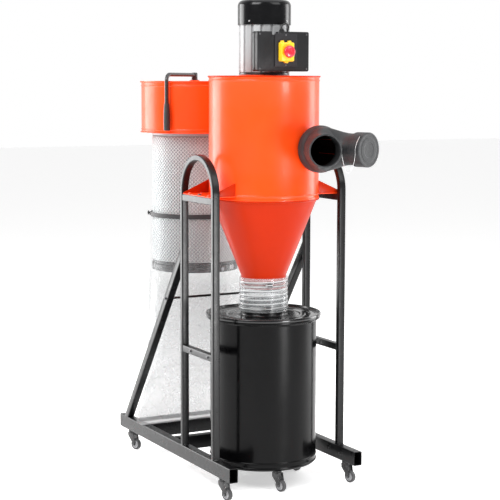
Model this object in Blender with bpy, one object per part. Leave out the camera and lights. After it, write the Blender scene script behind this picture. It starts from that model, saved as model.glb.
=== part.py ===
"""Portable two-stage dust collector: a cyclone separator on a wheeled steel frame, with a lift-off drum below it and a canister filter with a film bag behind it. Metres, +Z up, floor at z = 0."""

import math

import bmesh
import bpy
from mathutils import Matrix, Vector

# ---------------------------------------------------------------- dimensions
AXIS_Y = -0.2335  # Y of the cyclone's vertical axis; X is 0
FILTER_Y = AXIS_Y + 0.652  # Y of the filter's vertical axis
DATUM = 0.012  # height above the floor of the level that Z values below are measured from
GAP = 0.0003  # running gap between pieces that touch
BIG, MED, WYE = 36, 30, 24  # sides of the large, middle and inlet turnings

FRAME_HALF_WIDTH = 0.306
RAIL_W, RAIL_H, RAIL_Z = 0.038, 0.058, 0.075
RAIL_FRONT, RAIL_REAR = AXIS_Y - 0.289, AXIS_Y + 0.809
RAIL_TOP = RAIL_Z + RAIL_H
TUBE_WALL = 0.002
LEG_X, LEG_Y = 0.031, 0.023  # leg tube: across and along the rail
ARCH_R, ARCH_Z, ARCH_Y = 0.154, 1.198, AXIS_Y + 0.0066  # outer bend of the hoop
RUNG_H = 0.028
UPPER_RUNG_Z, LOWER_RUNG_Z = 1.158, 0.531
BRACE_T = 0.032
BRACE_SLOPE = math.radians(54.0)
BRACE_TOP_Z = 0.957
TIE_Y, TIE_Z, TIE_R = AXIS_Y + 0.305, 0.7316, 0.005

WHEEL_R, WHEEL_W, CASTER_TRAIL = 0.025, 0.018, 0.022
CASTER_H = RAIL_Z

DRUM_R, DRUM_RIM_R, DRUM_Z, DRUM_TOP = 0.2205, 0.2355, 0.0740, 0.6847
SHEET = 0.0015
LID_R, LID_TOP = 0.238, 0.6975
COLLAR_R, COLLAR_TOP = 0.0945, 0.742
CONE_TOP_R, CONE_TOP, CONE_END = 0.2165, 1.1715, 0.850
NECK_R, NECK_END = 0.0925, 0.800
BARREL_R, BARREL_BOTTOM, BARREL_TOP = 0.225, 1.1718, 1.667
HOSE_R, HOSE_LOW, HOSE_HIGH = 0.1012, 0.705, 0.8455

INLET_X, INLET_Z, STUB_R = 0.124, 1.3765, 0.076
PORT_R, PORT_WALL = 0.0632, 0.003

MOTOR_R, MOTOR_Z0, MOTOR_Z1 = 0.104, 1.6703, 1.880
COWL_R, COWL_Z0, COWL_Z1 = 0.108, 1.8703, 1.9705

MANIFOLD_R, MANIFOLD_RIM_R, MANIFOLD_Z0, MANIFOLD_Z1 = 0.2375, 0.2433, 1.419, 1.646
CAN_R, CAN_IN_R, CAN_Z0 = 0.1915, 0.156, 0.8355
BAG_R, BAG_TOP, BAG_BOTTOM = 0.1975, 1.072, 0.1365

# ---------------------------------------------------------------- clean scene
for old in list(bpy.data.objects):
    bpy.data.objects.remove(old, do_unlink=True)

COLLECTION = bpy.context.scene.collection


def material(name, colour, roughness, metallic=0.0, alpha=1.0):
    made = bpy.data.materials.new(name)
    made.use_nodes = True
    shader = made.node_tree.nodes["Principled BSDF"]
    shader.inputs["Base Color"].default_value = (*colour, 1.0)
    shader.inputs["Roughness"].default_value = roughness
    shader.inputs["Metallic"].default_value = metallic
    shader.inputs["Alpha"].default_value = alpha
    return made


ORANGE = ((0.95, 0.13, 0.02), 0.28, 0.0)
BLACK_PAINT = ((0.012, 0.012, 0.013), 0.35, 0.0)
DARK_PLASTIC = ((0.045, 0.046, 0.05), 0.6, 0.0)


# ---------------------------------------------------------------- shape helpers
def finish(bm, name, look, alpha=1.0):
    """One object from a bmesh, its faces turned outwards, with a material of its own."""
    bmesh.ops.remove_doubles(bm, verts=bm.verts, dist=1e-6)
    bmesh.ops.recalc_face_normals(bm, faces=bm.faces)
    mesh = bpy.data.meshes.new(name)
    bm.to_mesh(mesh)
    bm.free()
    obj = bpy.data.objects.new(name, mesh)
    COLLECTION.objects.link(obj)
    if look:
        mesh.materials.append(material(name, look[0], look[1], look[2], alpha))
    return obj


def lathe(name, profile, look=None, steps=32, at=(0.0, AXIS_Y), axis="Z", base=0.0, phase=0.0):
    """A closed or axis-to-axis profile of (radius, height) turned about an axis."""
    bm = bmesh.new()
    points = [bm.verts.new((r, 0.0, z)) for r, z in profile]
    pairs = list(zip(points, points[1:]))
    if not (abs(profile[0][0]) < 1e-9 and abs(profile[-1][0]) < 1e-9):
        pairs.append((points[-1], points[0]))
    edges = [bm.edges.new(pair) for pair in pairs]
    if phase:
        bmesh.ops.rotate(bm, verts=bm.verts, cent=(0, 0, 0), matrix=Matrix.Rotation(phase, 3, "Z"))
    bmesh.ops.spin(
        bm, geom=points + edges, cent=(0, 0, 0), axis=(0, 0, 1), angle=2 * math.pi, steps=steps, use_duplicate=False
    )
    bmesh.ops.remove_doubles(bm, verts=bm.verts, dist=1e-6)
    if axis == "X":
        bmesh.ops.rotate(bm, verts=bm.verts, cent=(0, 0, 0), matrix=Matrix.Rotation(math.pi / 2, 3, "Y"))
    elif axis == "Y":
        bmesh.ops.rotate(bm, verts=bm.verts, cent=(0, 0, 0), matrix=Matrix.Rotation(math.pi / 2, 3, "X"))
    obj = finish(bm, name, look)
    obj.location = (at[0], at[1], base)
    return obj


def block(name, low, high, look=None, bevel=0.0):
    bm = bmesh.new()
    bmesh.ops.create_cube(bm, size=1.0)
    low, high = Vector(low), Vector(high)
    for vert in bm.verts:
        vert.co = Vector(((vert.co[i] + 0.5) * (high[i] - low[i]) + low[i]) for i in range(3))
    if bevel:
        bmesh.ops.bevel(bm, geom=list(bm.edges), offset=bevel, segments=1, affect="EDGES")
    return finish(bm, name, look)


def prism(name, outline, direction, look=None):
    """A flat outline of 3-D points extruded along a vector."""
    bm = bmesh.new()
    face = bm.faces.new([bm.verts.new(p) for p in outline])
    grown = bmesh.ops.extrude_face_region(bm, geom=[face])
    moved = [g for g in grown["geom"] if isinstance(g, bmesh.types.BMVert)]
    bmesh.ops.translate(bm, verts=moved, vec=direction)
    return finish(bm, name, look)


def loft(name, rings, look=None, close_ends=True, loop=False):
    """Rings of equal point count bridged in order."""
    bm = bmesh.new()
    made = []
    for ring in rings:
        verts = [bm.verts.new(p) for p in ring]
        made.append(verts)
    count = len(made)
    spans = range(count if loop else count - 1)
    for i in spans:
        a, b = made[i], made[(i + 1) % count]
        for j in range(len(a)):
            k = (j + 1) % len(a)
            bm.faces.new((a[j], a[k], b[k], b[j]))
    if close_ends and not loop:
        bm.faces.new(made[0])
        bm.faces.new(made[-1])
    return finish(bm, name, look)


def circle(centre, normal, radius, count, up=(0, 0, 1)):
    """Points of a circle about a normal."""
    n = Vector(normal).normalized()
    u = Vector(up).cross(n).normalized()
    v = n.cross(u)
    return [
        Vector(centre) + radius * (math.cos(t) * u + math.sin(t) * v)
        for t in (2 * math.pi * i / count for i in range(count))
    ]


def rounded(w, h, r, seg=2):
    """Outline of a rounded rectangle, centred, anticlockwise."""
    out = []
    for cx, cy, a0 in ((w / 2 - r, h / 2 - r, 0), (-w / 2 + r, h / 2 - r, 90), (-w / 2 + r, -h / 2 + r, 180), (w / 2 - r, -h / 2 + r, 270)):
        for i in range(seg + 1):
            a = math.radians(a0 + 90 * i / seg)
            out.append((cx + r * math.cos(a), cy + r * math.sin(a)))
    return out


def boolean(obj, other, how):
    """Applies an exact Boolean and removes the tool."""
    mod = obj.modifiers.new(how.lower(), "BOOLEAN")
    mod.operation, mod.object, mod.solver = how, other, "EXACT"
    bpy.context.view_layer.update()
    graph = bpy.context.evaluated_depsgraph_get()
    mesh = bpy.data.meshes.new_from_object(obj.evaluated_get(graph))
    obj.modifiers.clear()
    old = obj.data
    obj.data = mesh
    mesh.name = old.name
    bpy.data.meshes.remove(old)
    bpy.data.objects.remove(other, do_unlink=True)
    return obj


def fuse(obj, *others):
    for other in others:
        boolean(obj, other, "UNION")
    return obj


def cut(obj, *others):
    for other in others:
        boolean(obj, other, "DIFFERENCE")
    return obj


def copy_of(obj, name, matrix):
    """A separate object with its own mesh and material, moved by a matrix."""
    mesh = obj.data.copy()
    mesh.name = name
    mesh.materials.clear()
    source = obj.data.materials[0].node_tree.nodes["Principled BSDF"].inputs
    mesh.materials.append(
        material(name, source["Base Color"].default_value[:3], source["Roughness"].default_value, source["Metallic"].default_value)
    )
    made = bpy.data.objects.new(name, mesh)
    COLLECTION.objects.link(made)
    made.matrix_world = matrix @ obj.matrix_world
    return made


def rect_tube(name, low, high, along, look):
    """An open-ended rectangular tube along one axis."""
    i = "XYZ".index(along)
    j, k = [n for n in range(3) if n != i]
    rings = []
    for inset in (0.0, TUBE_WALL):
        for end in ((low[i], high[i]) if inset == 0.0 else (high[i], low[i])):
            ring = []
            for a, b in ((0, 0), (1, 0), (1, 1), (0, 1)):
                p = [0.0, 0.0, 0.0]
                p[i] = end
                p[j] = (low[j] + inset, high[j] - inset)[a]
                p[k] = (low[k] + inset, high[k] - inset)[b]
                ring.append(p)
            rings.append(ring)
    return loft(name, rings, look, loop=True)


# ---------------------------------------------------------------- frame
for side, name in ((-1, "left"), (1, "right")):
    outer = side * FRAME_HALF_WIDTH
    inner = side * (FRAME_HALF_WIDTH - RAIL_W)
    rect_tube(
        f"base_rail_{name}", (min(outer, inner), RAIL_FRONT, RAIL_Z), (max(outer, inner), RAIL_REAR, RAIL_TOP), "Y", BLACK_PAINT
    )
    # Hoop: two legs and a half-round bend, swept from a rounded tube section.
    cx = side * (FRAME_HALF_WIDTH - LEG_X / 2)
    rings = []
    for half_x, half_n, corner in ((LEG_X / 2, LEG_Y / 2, 0.006), (LEG_X / 2 - TUBE_WALL, LEG_Y / 2 - TUBE_WALL, 0.004)):
        section = rounded(2 * half_x, 2 * half_n, corner, 1)
        mid = ARCH_R - LEG_Y / 2
        stations = [(ARCH_Y - mid, RAIL_TOP + GAP, -math.pi)]
        stations += [(ARCH_Y - mid * math.cos(t), ARCH_Z + mid * math.sin(t), t - math.pi) for t in (math.pi * i / 12 for i in range(13))]
        stations.append((ARCH_Y + mid, RAIL_TOP + GAP, 0.0))
        sweep = []
        for y, z, turn in stations:
            ny, nz = math.cos(turn), -math.sin(turn)
            sweep.append([(cx + sx, y + sn * ny, z + sn * nz) for sx, sn in section])
        rings += sweep if not rings else sweep[::-1]
    loft(f"upright_{name}", rings, BLACK_PAINT, loop=True)
    # Rungs between the legs.
    y0 = ARCH_Y - ARCH_R + LEG_Y + GAP
    y1 = ARCH_Y + ARCH_R - LEG_Y - GAP
    for level, z in (("upper", UPPER_RUNG_Z), ("lower", LOWER_RUNG_Z)):
        x0, x1 = side * (FRAME_HALF_WIDTH - 0.0015), side * (FRAME_HALF_WIDTH - 0.0015 - RUNG_H)
        rect_tube(f"{level}_rung_{name}", (min(x0, x1), y0, z), (max(x0, x1), y1, z + RUNG_H), "Y", BLACK_PAINT)
    # Diagonal brace from the back of the rail up to the rear leg.
    leg_back = ARCH_Y + ARCH_R + GAP
    slope = math.tan(BRACE_SLOPE)

    def brace_ring(x0, x1, inset, bottom):
        drop = inset / math.cos(BRACE_SLOPE)
        tall = (BRACE_T - 2 * inset) / math.cos(BRACE_SLOPE)
        top_line = BRACE_TOP_Z - drop
        if bottom:
            z = RAIL_TOP + GAP
            ya = leg_back + (top_line - z) / slope
            yb = leg_back + (top_line - tall - z) / slope
            return [(x0, ya, z), (x1, ya, z), (x1, yb, z), (x0, yb, z)]
        return [(x0, leg_back, top_line), (x1, leg_back, top_line), (x1, leg_back, top_line - tall), (x0, leg_back, top_line - tall)]

    a, b = cx - LEG_X / 2, cx + LEG_X / 2
    loft(
        f"brace_{name}",
        [
            brace_ring(a, b, 0.0, True),
            brace_ring(a, b, 0.0, False),
            brace_ring(a + TUBE_WALL, b - TUBE_WALL, TUBE_WALL, False),
            brace_ring(a + TUBE_WALL, b - TUBE_WALL, TUBE_WALL, True),
        ],
        BLACK_PAINT,
        loop=True,
    )

inner = FRAME_HALF_WIDTH - RAIL_W - GAP
rect_tube("cross_member_mid", (-inner, AXIS_Y + 0.268, RAIL_Z), (inner, AXIS_Y + 0.306, RAIL_TOP), "X", BLACK_PAINT)
rect_tube("cross_member_rear", (-inner, AXIS_Y + 0.535, RAIL_Z), (inner, AXIS_Y + 0.573, RAIL_TOP), "X", BLACK_PAINT)
lathe(
    "tie_rod",
    [(0, -(FRAME_HALF_WIDTH - LEG_X - GAP)), (TIE_R, -(FRAME_HALF_WIDTH - LEG_X - GAP)), (TIE_R, FRAME_HALF_WIDTH - LEG_X - GAP), (0, FRAME_HALF_WIDTH - LEG_X - GAP)],
    BLACK_PAINT,
    steps=12,
    at=(0.0, TIE_Y),
    axis="X",
    base=TIE_Z,
)

# ---------------------------------------------------------------- casters
# Built at the origin with the swivel axis on Z and the wheel trailing to +X.


def make_fork(name, top):
    head_z = top - GAP
    fork = lathe(name, [(0, head_z), (0.0185, head_z), (0.019, head_z - 0.008), (0, head_z - 0.008)], BLACK_PAINT, steps=12, at=(0, 0))
    half = WHEEL_W / 2 + 0.0055
    crown = block("crown", (-0.0165, -half + 0.0003, head_z - 0.0112), (0.0205, half - 0.0003, head_z - 0.0073))
    cheeks = []
    for s in (-1, 1):
        y = s * half - (0.0025 if s > 0 else 0.0)
        outline = [(-0.0157, head_z - 0.0092), (0.0197, head_z - 0.0092), (0.031, WHEEL_R + 0.006 - DATUM), (0.024, WHEEL_R - 0.008 - DATUM), (0.014, WHEEL_R - 0.004 - DATUM), (-0.0150, head_z - 0.024)]
        cheeks.append(prism("cheek", [(x, y, z) for x, z in outline], (0, 0.0025, 0)))
    axle = lathe("axle", [(0, -half - 0.002), (0.0036, -half - 0.002), (0.0036, half + 0.002), (0, half + 0.002)], steps=8, at=(CASTER_TRAIL, 0), axis="Y", base=WHEEL_R - DATUM)
    return fuse(fork, crown, *cheeks, axle)


def make_wheel(name):
    h = WHEEL_W / 2
    r = WHEEL_R
    profile = [(0.0042, -h - 0.0005), (r - 0.004, -h), (r, -h + 0.004), (r, h - 0.004), (r - 0.004, h), (0.0042, h + 0.0005)]
    return lathe(name, profile, ((0.11, 0.11, 0.115), 0.55, 0.0), steps=20, at=(CASTER_TRAIL, 0), axis="Y", base=WHEEL_R - DATUM)


base_fork = make_fork("fork_pattern", CASTER_H)
base_wheel = make_wheel("wheel_pattern")
drum_fork = make_fork("drum_fork_pattern", DRUM_Z)

CASTERS = {
    # name: (x, y, heading of the trailing wheel in degrees from +X)
    "caster_front_left": (-0.287, AXIS_Y - 0.200, -74.0),
    "caster_front_right": (0.287, AXIS_Y - 0.200, -74.0),
    "caster_rear_left": (-0.287, AXIS_Y + 0.711, -68.0),
    "caster_rear_right": (0.287, AXIS_Y + 0.711, -80.0),
}
DRUM_CASTERS = {
    "drum_caster_front": (-0.036, AXIS_Y - 0.188, -74.0),
    "drum_caster_right": (0.181, AXIS_Y + 0.063, -80.0),
    "drum_caster_left": (-0.145, AXIS_Y + 0.125, -70.0),
}
for group, pattern in ((CASTERS, base_fork), (DRUM_CASTERS, drum_fork)):
    for name, (x, y, heading) in group.items():
        place = Matrix.Translation((x, y, 0)) @ Matrix.Rotation(math.radians(heading), 4, "Z")
        bpy.context.view_layer.update()
        copy_of(pattern, f"{name}_fork", place)
        copy_of(base_wheel, f"{name}_wheel", place)
for pattern in (base_fork, drum_fork, base_wheel):
    bpy.data.objects.remove(pattern, do_unlink=True)

# ---------------------------------------------------------------- drum and lid
lathe(
    "drum_body",
    [
        (0, DRUM_Z),
        (0.214, DRUM_Z),
        (DRUM_R + 0.0025, DRUM_Z + 0.009),
        (DRUM_R, DRUM_Z + 0.015),
        (DRUM_R, DRUM_TOP - 0.016),
        (DRUM_RIM_R, DRUM_TOP - 0.010),
        (DRUM_RIM_R, DRUM_TOP),
        (DRUM_R - SHEET, DRUM_TOP),
        (DRUM_R - SHEET, DRUM_Z + 0.003),
        (0, DRUM_Z + 0.003),
    ],
    ((0.014, 0.014, 0.015), 0.3, 0.0),
    steps=BIG,
)
lid_base = DRUM_TOP + GAP
lathe(
    "drum_lid",
    [
        (LID_R, lid_base),
        (LID_R, LID_TOP - 0.002),
        (LID_R - 0.003, LID_TOP),
        (0.230, LID_TOP - 0.002),
        (0.226, lid_base + 0.0030),
        (0.193, lid_base + 0.0045),
        (0.148, lid_base + 0.0020),
        (COLLAR_R, lid_base + 0.0020),
        (COLLAR_R, COLLAR_TOP),
        (COLLAR_R - 0.002, COLLAR_TOP),
        (COLLAR_R - 0.002, lid_base),
    ],
    ((0.014, 0.014, 0.015), 0.3, 0.0),
    steps=BIG,
)

# ---------------------------------------------------------------- cyclone
barrel = lathe(
    "cyclone_barrel",
    [
        (BARREL_R + 0.0024, BARREL_BOTTOM),
        (BARREL_R + 0.0024, BARREL_BOTTOM + 0.006),
        (BARREL_R, BARREL_BOTTOM + 0.0075),
        (BARREL_R, BARREL_TOP - 0.006),
        (BARREL_R + 0.005, BARREL_TOP - 0.003),
        (BARREL_R + 0.005, BARREL_TOP),
        (BARREL_R - SHEET, BARREL_TOP),
        (BARREL_R - SHEET, BARREL_BOTTOM),
    ],
    ORANGE,
    steps=BIG,
)
# Steel inlet stub, tangential on the right-hand side, blowing towards +Y.
stub_front = AXIS_Y - 0.255
stub = loft(
    "stub",
    [circle((INLET_X, y, INLET_Z), (0, -1, 0), STUB_R, WYE) for y in (AXIS_Y - 0.08, stub_front)],
)
cut(stub, lathe("bore", [(0, 1.1), (BARREL_R - 0.0012, 1.1), (BARREL_R - 0.0012, 1.7), (0, 1.7)], steps=BIG))
fuse(barrel, stub)
cut(
    barrel,
    loft("inlet_bore", [circle((INLET_X, y, INLET_Z), (0, -1, 0), STUB_R - SHEET, WYE) for y in (AXIS_Y - 0.07, stub_front - 0.01)]),
    block("outlet_window", (0.032, AXIS_Y + 0.05, 1.475), (0.198, AXIS_Y + 0.30, 1.615)),
)
lathe(
    "cyclone_cone",
    [
        (BARREL_R + 0.0024, CONE_TOP),
        (BARREL_R + 0.0024, CONE_TOP - 0.006),
        (CONE_TOP_R, CONE_TOP - 0.0075),
        (NECK_R, CONE_END),
        (NECK_R, NECK_END),
        (NECK_R - SHEET, NECK_END),
        (NECK_R - SHEET, CONE_END + 0.001),
        (CONE_TOP_R - SHEET * 1.2, CONE_TOP - 0.006),
        (CONE_TOP_R - SHEET * 1.2, CONE_TOP),
    ],
    ORANGE,
    steps=BIG,
)
lathe(
    "top_deck",
    [(0.016, BARREL_TOP - 0.004), (0.016, BARREL_TOP + 0.003), (0.103, BARREL_TOP + 0.003), (0.105, BARREL_TOP - 0.001), (BARREL_R - SHEET - GAP, BARREL_TOP - 0.001), (BARREL_R - SHEET - GAP, BARREL_TOP - 0.004)],
    ORANGE,
    steps=BIG,
)
lathe(
    "vortex_tube",
    [
        (0.088, 1.245),
        (0.0895, 1.245),
        (0.0895, 1.448),
        (BARREL_R - SHEET - GAP, 1.448),
        (BARREL_R - SHEET - GAP, 1.450),
        (0.088, 1.450),
    ],
    ORANGE,
    steps=BIG,
)
lathe(
    "flex_hose",
    [(HOSE_R, HOSE_LOW), (HOSE_R, HOSE_HIGH), (HOSE_R - 0.003, HOSE_HIGH), (HOSE_R - 0.003, HOSE_LOW)],
    ((0.85, 0.87, 0.88), 0.2, 0.0),
    steps=MED,
)


def hose_clamp(name, z, heading):
    ring = lathe(name, [(HOSE_R + GAP, z - 0.006), (HOSE_R + 0.0016, z - 0.006), (HOSE_R + 0.0016, z + 0.006), (HOSE_R + GAP, z + 0.006)], ((0.6, 0.6, 0.6), 0.25, 1.0), steps=MED)
    housing = block("housing", (-0.011, -0.009, -0.0075), (0.011, 0.0, 0.0075), bevel=0.002)
    screw = lathe("screw", [(0, -0.018), (0.0042, -0.018), (0.0042, 0.010), (0, 0.010)], steps=10, at=(0, -0.0050), axis="X")
    angle = math.radians(heading)
    r = HOSE_R + 0.0010
    place = Matrix.Translation((r * math.sin(angle), AXIS_Y - r * math.cos(angle), z)) @ Matrix.Rotation(angle, 4, "Z")
    for piece in (housing, screw):
        piece.matrix_world = place @ piece.matrix_basis
    bpy.context.view_layer.update()
    return fuse(ring, housing, screw)


hose_clamp("hose_clamp_upper", 0.820, -14.0)
hose_clamp("hose_clamp_lower", 0.722, -17.0)

# Brackets that carry the barrel on the upper rungs.
for side, name in ((-1, "left"), (1, "right")):
    z0 = UPPER_RUNG_Z + RUNG_H + GAP
    tip, root = side * 0.303, side * 0.16
    plate = block(f"bracket_{name}", (min(tip, root), ARCH_Y - 0.127, z0), (max(tip, root), ARCH_Y + 0.127, z0 + 0.003), ORANGE)
    pieces = []
    for y in (ARCH_Y - 0.125, ARCH_Y + 0.122):
        outline = [(tip, z0 + 0.001), (root, z0 + 0.001), (root, 1.257), (tip, z0 + 0.006)]
        pieces.append(prism("gusset", [(x, y, z) for x, z in outline], (0, 0.003, 0)))
    fuse(plate, *pieces)
    cut(
        plate,
        lathe("clear", [(0, 1.1), (BARREL_R + GAP, 1.1), (BARREL_R + GAP, 1.4), (0, 1.4)], steps=BIG),
    )

# ---------------------------------------------------------------- inlet wye and cap
A_DIR = Vector((math.sin(math.radians(-16)), -math.cos(math.radians(-16)), 0))
B_DIR = Vector((math.sin(math.radians(21)), -math.cos(math.radians(21)), 0))
A_END = Vector((0.0430, AXIS_Y - 0.420, INLET_Z + 0.0015))
B_CAP = Vector((0.2467, AXIS_Y - 0.410, INLET_Z + 0.001))
B_END = B_CAP - 0.006 * B_DIR
HUB_R = 0.0945
hub_back = AXIS_Y - 0.2262


def wye_arm(name, end, direction, wall, extra, skew):
    rings = [
        circle((INLET_X, hub_back - 0.008 - skew, INLET_Z), (0, -1, 0), HUB_R - 0.004 - skew - wall, WYE),
        circle((INLET_X, hub_back - 0.036 - skew, INLET_Z), (0, -1, 0), HUB_R - 0.0055 - skew - wall, WYE),
        circle(end - 0.100 * direction, direction, PORT_R + 0.010 - wall, WYE),
        circle(end - 0.080 * direction, direction, PORT_R - wall, WYE),
        circle(end + extra * direction, direction, PORT_R - wall, WYE),
    ]
    return loft(name, rings)


wye = loft(
    "inlet_wye",
    [circle((INLET_X, hub_back - back, INLET_Z), (0, -1, 0), r, WYE) for back, r in ((0.0, HUB_R), (0.026, HUB_R), (0.038, HUB_R - 0.005))],
    DARK_PLASTIC,
)
lip = loft("lip", [circle(A_END - 0.008 * A_DIR, A_DIR, PORT_R - 0.0005, WYE), circle(A_END - 0.006 * A_DIR, A_DIR, PORT_R + 0.0028, WYE), circle(A_END + 0.0004 * A_DIR, A_DIR, PORT_R + 0.0028, WYE)])
fuse(wye, wye_arm("arm_a", A_END, A_DIR, 0.0, 0.0, 0.0), wye_arm("arm_b", B_END, B_DIR, 0.0, 0.0, 0.0006), lip)
# Bores of the hub and of both arms.
cut(
    wye,
    loft("hub_bore", [circle((INLET_X, hub_back + back, INLET_Z), (0, -1, 0), HUB_R - 0.0042, WYE) for back in (0.01, -0.0335)]),
    wye_arm("bore_a", A_END, A_DIR, PORT_WALL, 0.01, 0.0001),
    wye_arm("bore_b", B_END, B_DIR, PORT_WALL, 0.01, 0.0008),
)
# Eye for the cap's tether, low on the inner side of arm A.
A_SIDE = Vector((-A_DIR.y, A_DIR.x, 0))
eye_at = A_END - 0.020 * A_DIR
eye_low = 1.3800
eye = prism(
    "eye",
    [eye_at + 0.0610 * A_SIDE + u * A_DIR + Vector((0, 0, eye_low - INLET_Z - 0.0015)) for u in (-0.004, 0.004)]
    + [eye_at + 0.0715 * A_SIDE + u * A_DIR + Vector((0, 0, eye_low - INLET_Z - 0.0015)) for u in (0.004, -0.004)],
    (0, 0, 0.007),
)
fuse(wye, eye)
back_ring = lathe(
    "back_ring",
    [(STUB_R + GAP + 0.0002, 0.0002), (HUB_R - 0.001, 0.0002), (HUB_R - 0.001, 0.0060), (STUB_R + GAP + 0.0002, 0.0060)],
    steps=WYE,
    at=(INLET_X, hub_back),
    axis="Y",
    base=INLET_Z,
)
bpy.context.view_layer.update()
fuse(wye, back_ring)



CAP_R, CAP_DEPTH = 0.069, 0.056
cap_place = Matrix.Translation(B_CAP) @ B_DIR.to_track_quat("Z", "X").to_matrix().to_4x4()
cap = lathe(
    "port_cap",
    [(0, 0.0), (CAP_R - 0.002, 0.0), (CAP_R, -0.002), (CAP_R, -CAP_DEPTH), (PORT_R + 0.0012, -CAP_DEPTH), (PORT_R + 0.0008, -0.0045), (0, -0.0045)],
    DARK_PLASTIC,
    steps=MED,
    at=(0, 0),
)
EAR_ANGLE = math.radians(40.0)  # from the top of the cap towards -X
ear = block("ear", (CAP_R - 0.001, -0.003, -0.012), (CAP_R + 0.0075, 0.003, -0.004), bevel=0.0)
ear.rotation_euler = (0, 0, EAR_ANGLE)
bpy.context.view_layer.update()
fuse(cap, ear)
cap.matrix_world = cap_place

# Tether: a wire that hangs from the eye and comes up round the cap to its ear.
TETHER_R = 0.001
CAP_SIDE = Vector((B_DIR.y, -B_DIR.x, 0))


def round_cap(degrees, radius, along):
    t = math.radians(degrees)
    return B_CAP + along * B_DIR + radius * (math.cos(t) * Vector((0, 0, 1)) + math.sin(t) * CAP_SIDE)


def smooth_path(points, spacing):
    """Points along a Catmull-Rom curve through the given ones."""
    ends = [2 * points[0] - points[1]] + points + [2 * points[-1] - points[-2]]
    out = [points[0]]
    for a, b, c, d in zip(ends, ends[1:], ends[2:], ends[3:]):
        steps = max(1, round((c - b).length / spacing))
        for i in range(1, steps + 1):
            t = i / steps
            out.append(0.5 * (2 * b + t * (c - a) + t * t * (2 * a - 5 * b + 4 * c - d) + t * t * t * (3 * b - a - 3 * c + d)))
    return out


tether_start = eye_at + 0.0690 * A_SIDE
tether_start.z = eye_low - GAP
tether_end = round_cap(40.0, 0.0735, -0.008) + (0.003 + GAP) * (math.cos(EAR_ANGLE) * CAP_SIDE - math.sin(EAR_ANGLE) * Vector((0, 0, 1)))
route = [
    tether_start,
    tether_start + Vector((0.0, 0.0, -0.008)),
    tether_start + Vector((0.0020, -0.0008, -0.026)),
    tether_start + Vector((0.0085, -0.0024, -0.054)),
    tether_start + Vector((0.0175, -0.0044, -0.078)),
    tether_start + Vector((0.0270, -0.0062, -0.0868)),
    tether_start + Vector((0.0385, -0.0080, -0.0775)),
    tether_start + Vector((0.0500, -0.0100, -0.0510)),
    round_cap(103.0, 0.0830, -0.0080),
    round_cap(84.0, 0.0790, -0.0080),
    round_cap(66.0, 0.0760, -0.0080),
    round_cap(50.0, 0.0740, -0.0080),
    tether_end,
]
curve = bpy.data.curves.new("cap_tether", "CURVE")
curve.dimensions = "3D"
curve.bevel_depth, curve.bevel_resolution, curve.use_fill_caps = TETHER_R, 2, True
spline = curve.splines.new("POLY")
path = smooth_path(route, 0.005)
spline.points.add(len(path) - 1)
for point, place in zip(spline.points, path):
    point.co = (*place, 1.0)
tether = bpy.data.objects.new("cap_tether", curve)
COLLECTION.objects.link(tether)
curve.materials.append(material("cap_tether", (0.55, 0.55, 0.55), 0.3, 1.0))

# ---------------------------------------------------------------- motor
FINS = 16
fin_ring = []
for i in range(FINS):
    base_angle = 2 * math.pi * i / FINS
    for offset, radius in ((-0.28, MOTOR_R - 0.006), (-0.18, MOTOR_R), (0.18, MOTOR_R), (0.28, MOTOR_R - 0.006)):
        t = base_angle + offset * 2 * math.pi / FINS
        fin_ring.append((radius * math.cos(t), radius * math.sin(t)))
body = loft(
    "motor_body",
    [[(x, y + AXIS_Y, z) for x, y in fin_ring] for z in (MOTOR_Z0 + 0.009, MOTOR_Z1 - 0.012)],
    ((0.62, 0.63, 0.64), 0.3, 1.0),
)
flange = lathe("flange", [(0, MOTOR_Z0), (0.1025, MOTOR_Z0), (0.1025, MOTOR_Z0 + 0.0095), (0, MOTOR_Z0 + 0.0095)], steps=MED)
shoulder = lathe("shoulder", [(0, MOTOR_Z1 - 0.013), (0.0965, MOTOR_Z1 - 0.013), (0.0965, MOTOR_Z1), (0, MOTOR_Z1)], steps=24)
boss = block("boss", (-0.055, AXIS_Y - 0.1137, 1.725), (0.055, AXIS_Y - 0.085, 1.795))
fuse(body, flange, shoulder, boss)
cut(body, lathe("shaft_bore", [(0, 1.6), (0.0100, 1.6), (0.0100, 1.9), (0, 1.9)], steps=24))
lathe(
    "motor_cowl",
    [
        (COWL_R, COWL_Z0),
        (COWL_R, COWL_Z0 + 0.060),
        (COWL_R - 0.004, COWL_Z0 + 0.078),
        (COWL_R - 0.014, COWL_Z0 + 0.090),
        (0.058, COWL_Z0 + 0.0985),
        (0.020, COWL_Z1),
        (0.020, COWL_Z1 - 0.0020),
        (0.058, COWL_Z0 + 0.0962),
        (COWL_R - 0.016, COWL_Z0 + 0.0880),
        (COWL_R - 0.0065, COWL_Z0 + 0.0770),
        (COWL_R - 0.002, COWL_Z0 + 0.059),
        (COWL_R - 0.002, COWL_Z0),
    ],
    ((0.01, 0.01, 0.011), 0.15, 0.0),
    steps=MED,
)
rotor = lathe(
    "motor_rotor",
    [(0, 1.480), (0.026, 1.480), (0.030, 1.490), (0.030, 1.585), (0.165, 1.585), (0.165, 1.5875), (0.030, 1.5875), (0.018, 1.600), (0.0096, 1.604), (0.0096, 1.905), (0.024, 1.905), (0.024, 1.930), (0, 1.930)],
    ((0.45, 0.46, 0.47), 0.35, 1.0),
    steps=24,
)
blades = []
for i in range(8):
    t = 2 * math.pi * i / 8
    u, w = Vector((math.cos(t), math.sin(t), 0)), Vector((-math.sin(t), math.cos(t), 0))
    foot = Vector((0, AXIS_Y, 0))
    p0, p1 = foot + 0.028 * u, foot + 0.160 * u + 0.030 * w
    thick = 0.002 * w
    blades.append(prism("blade", [p0 + Vector((0, 0, 1.500)), p1 + Vector((0, 0, 1.520)), p1 + Vector((0, 0, 1.586)), p0 + Vector((0, 0, 1.586))], thick))
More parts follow.
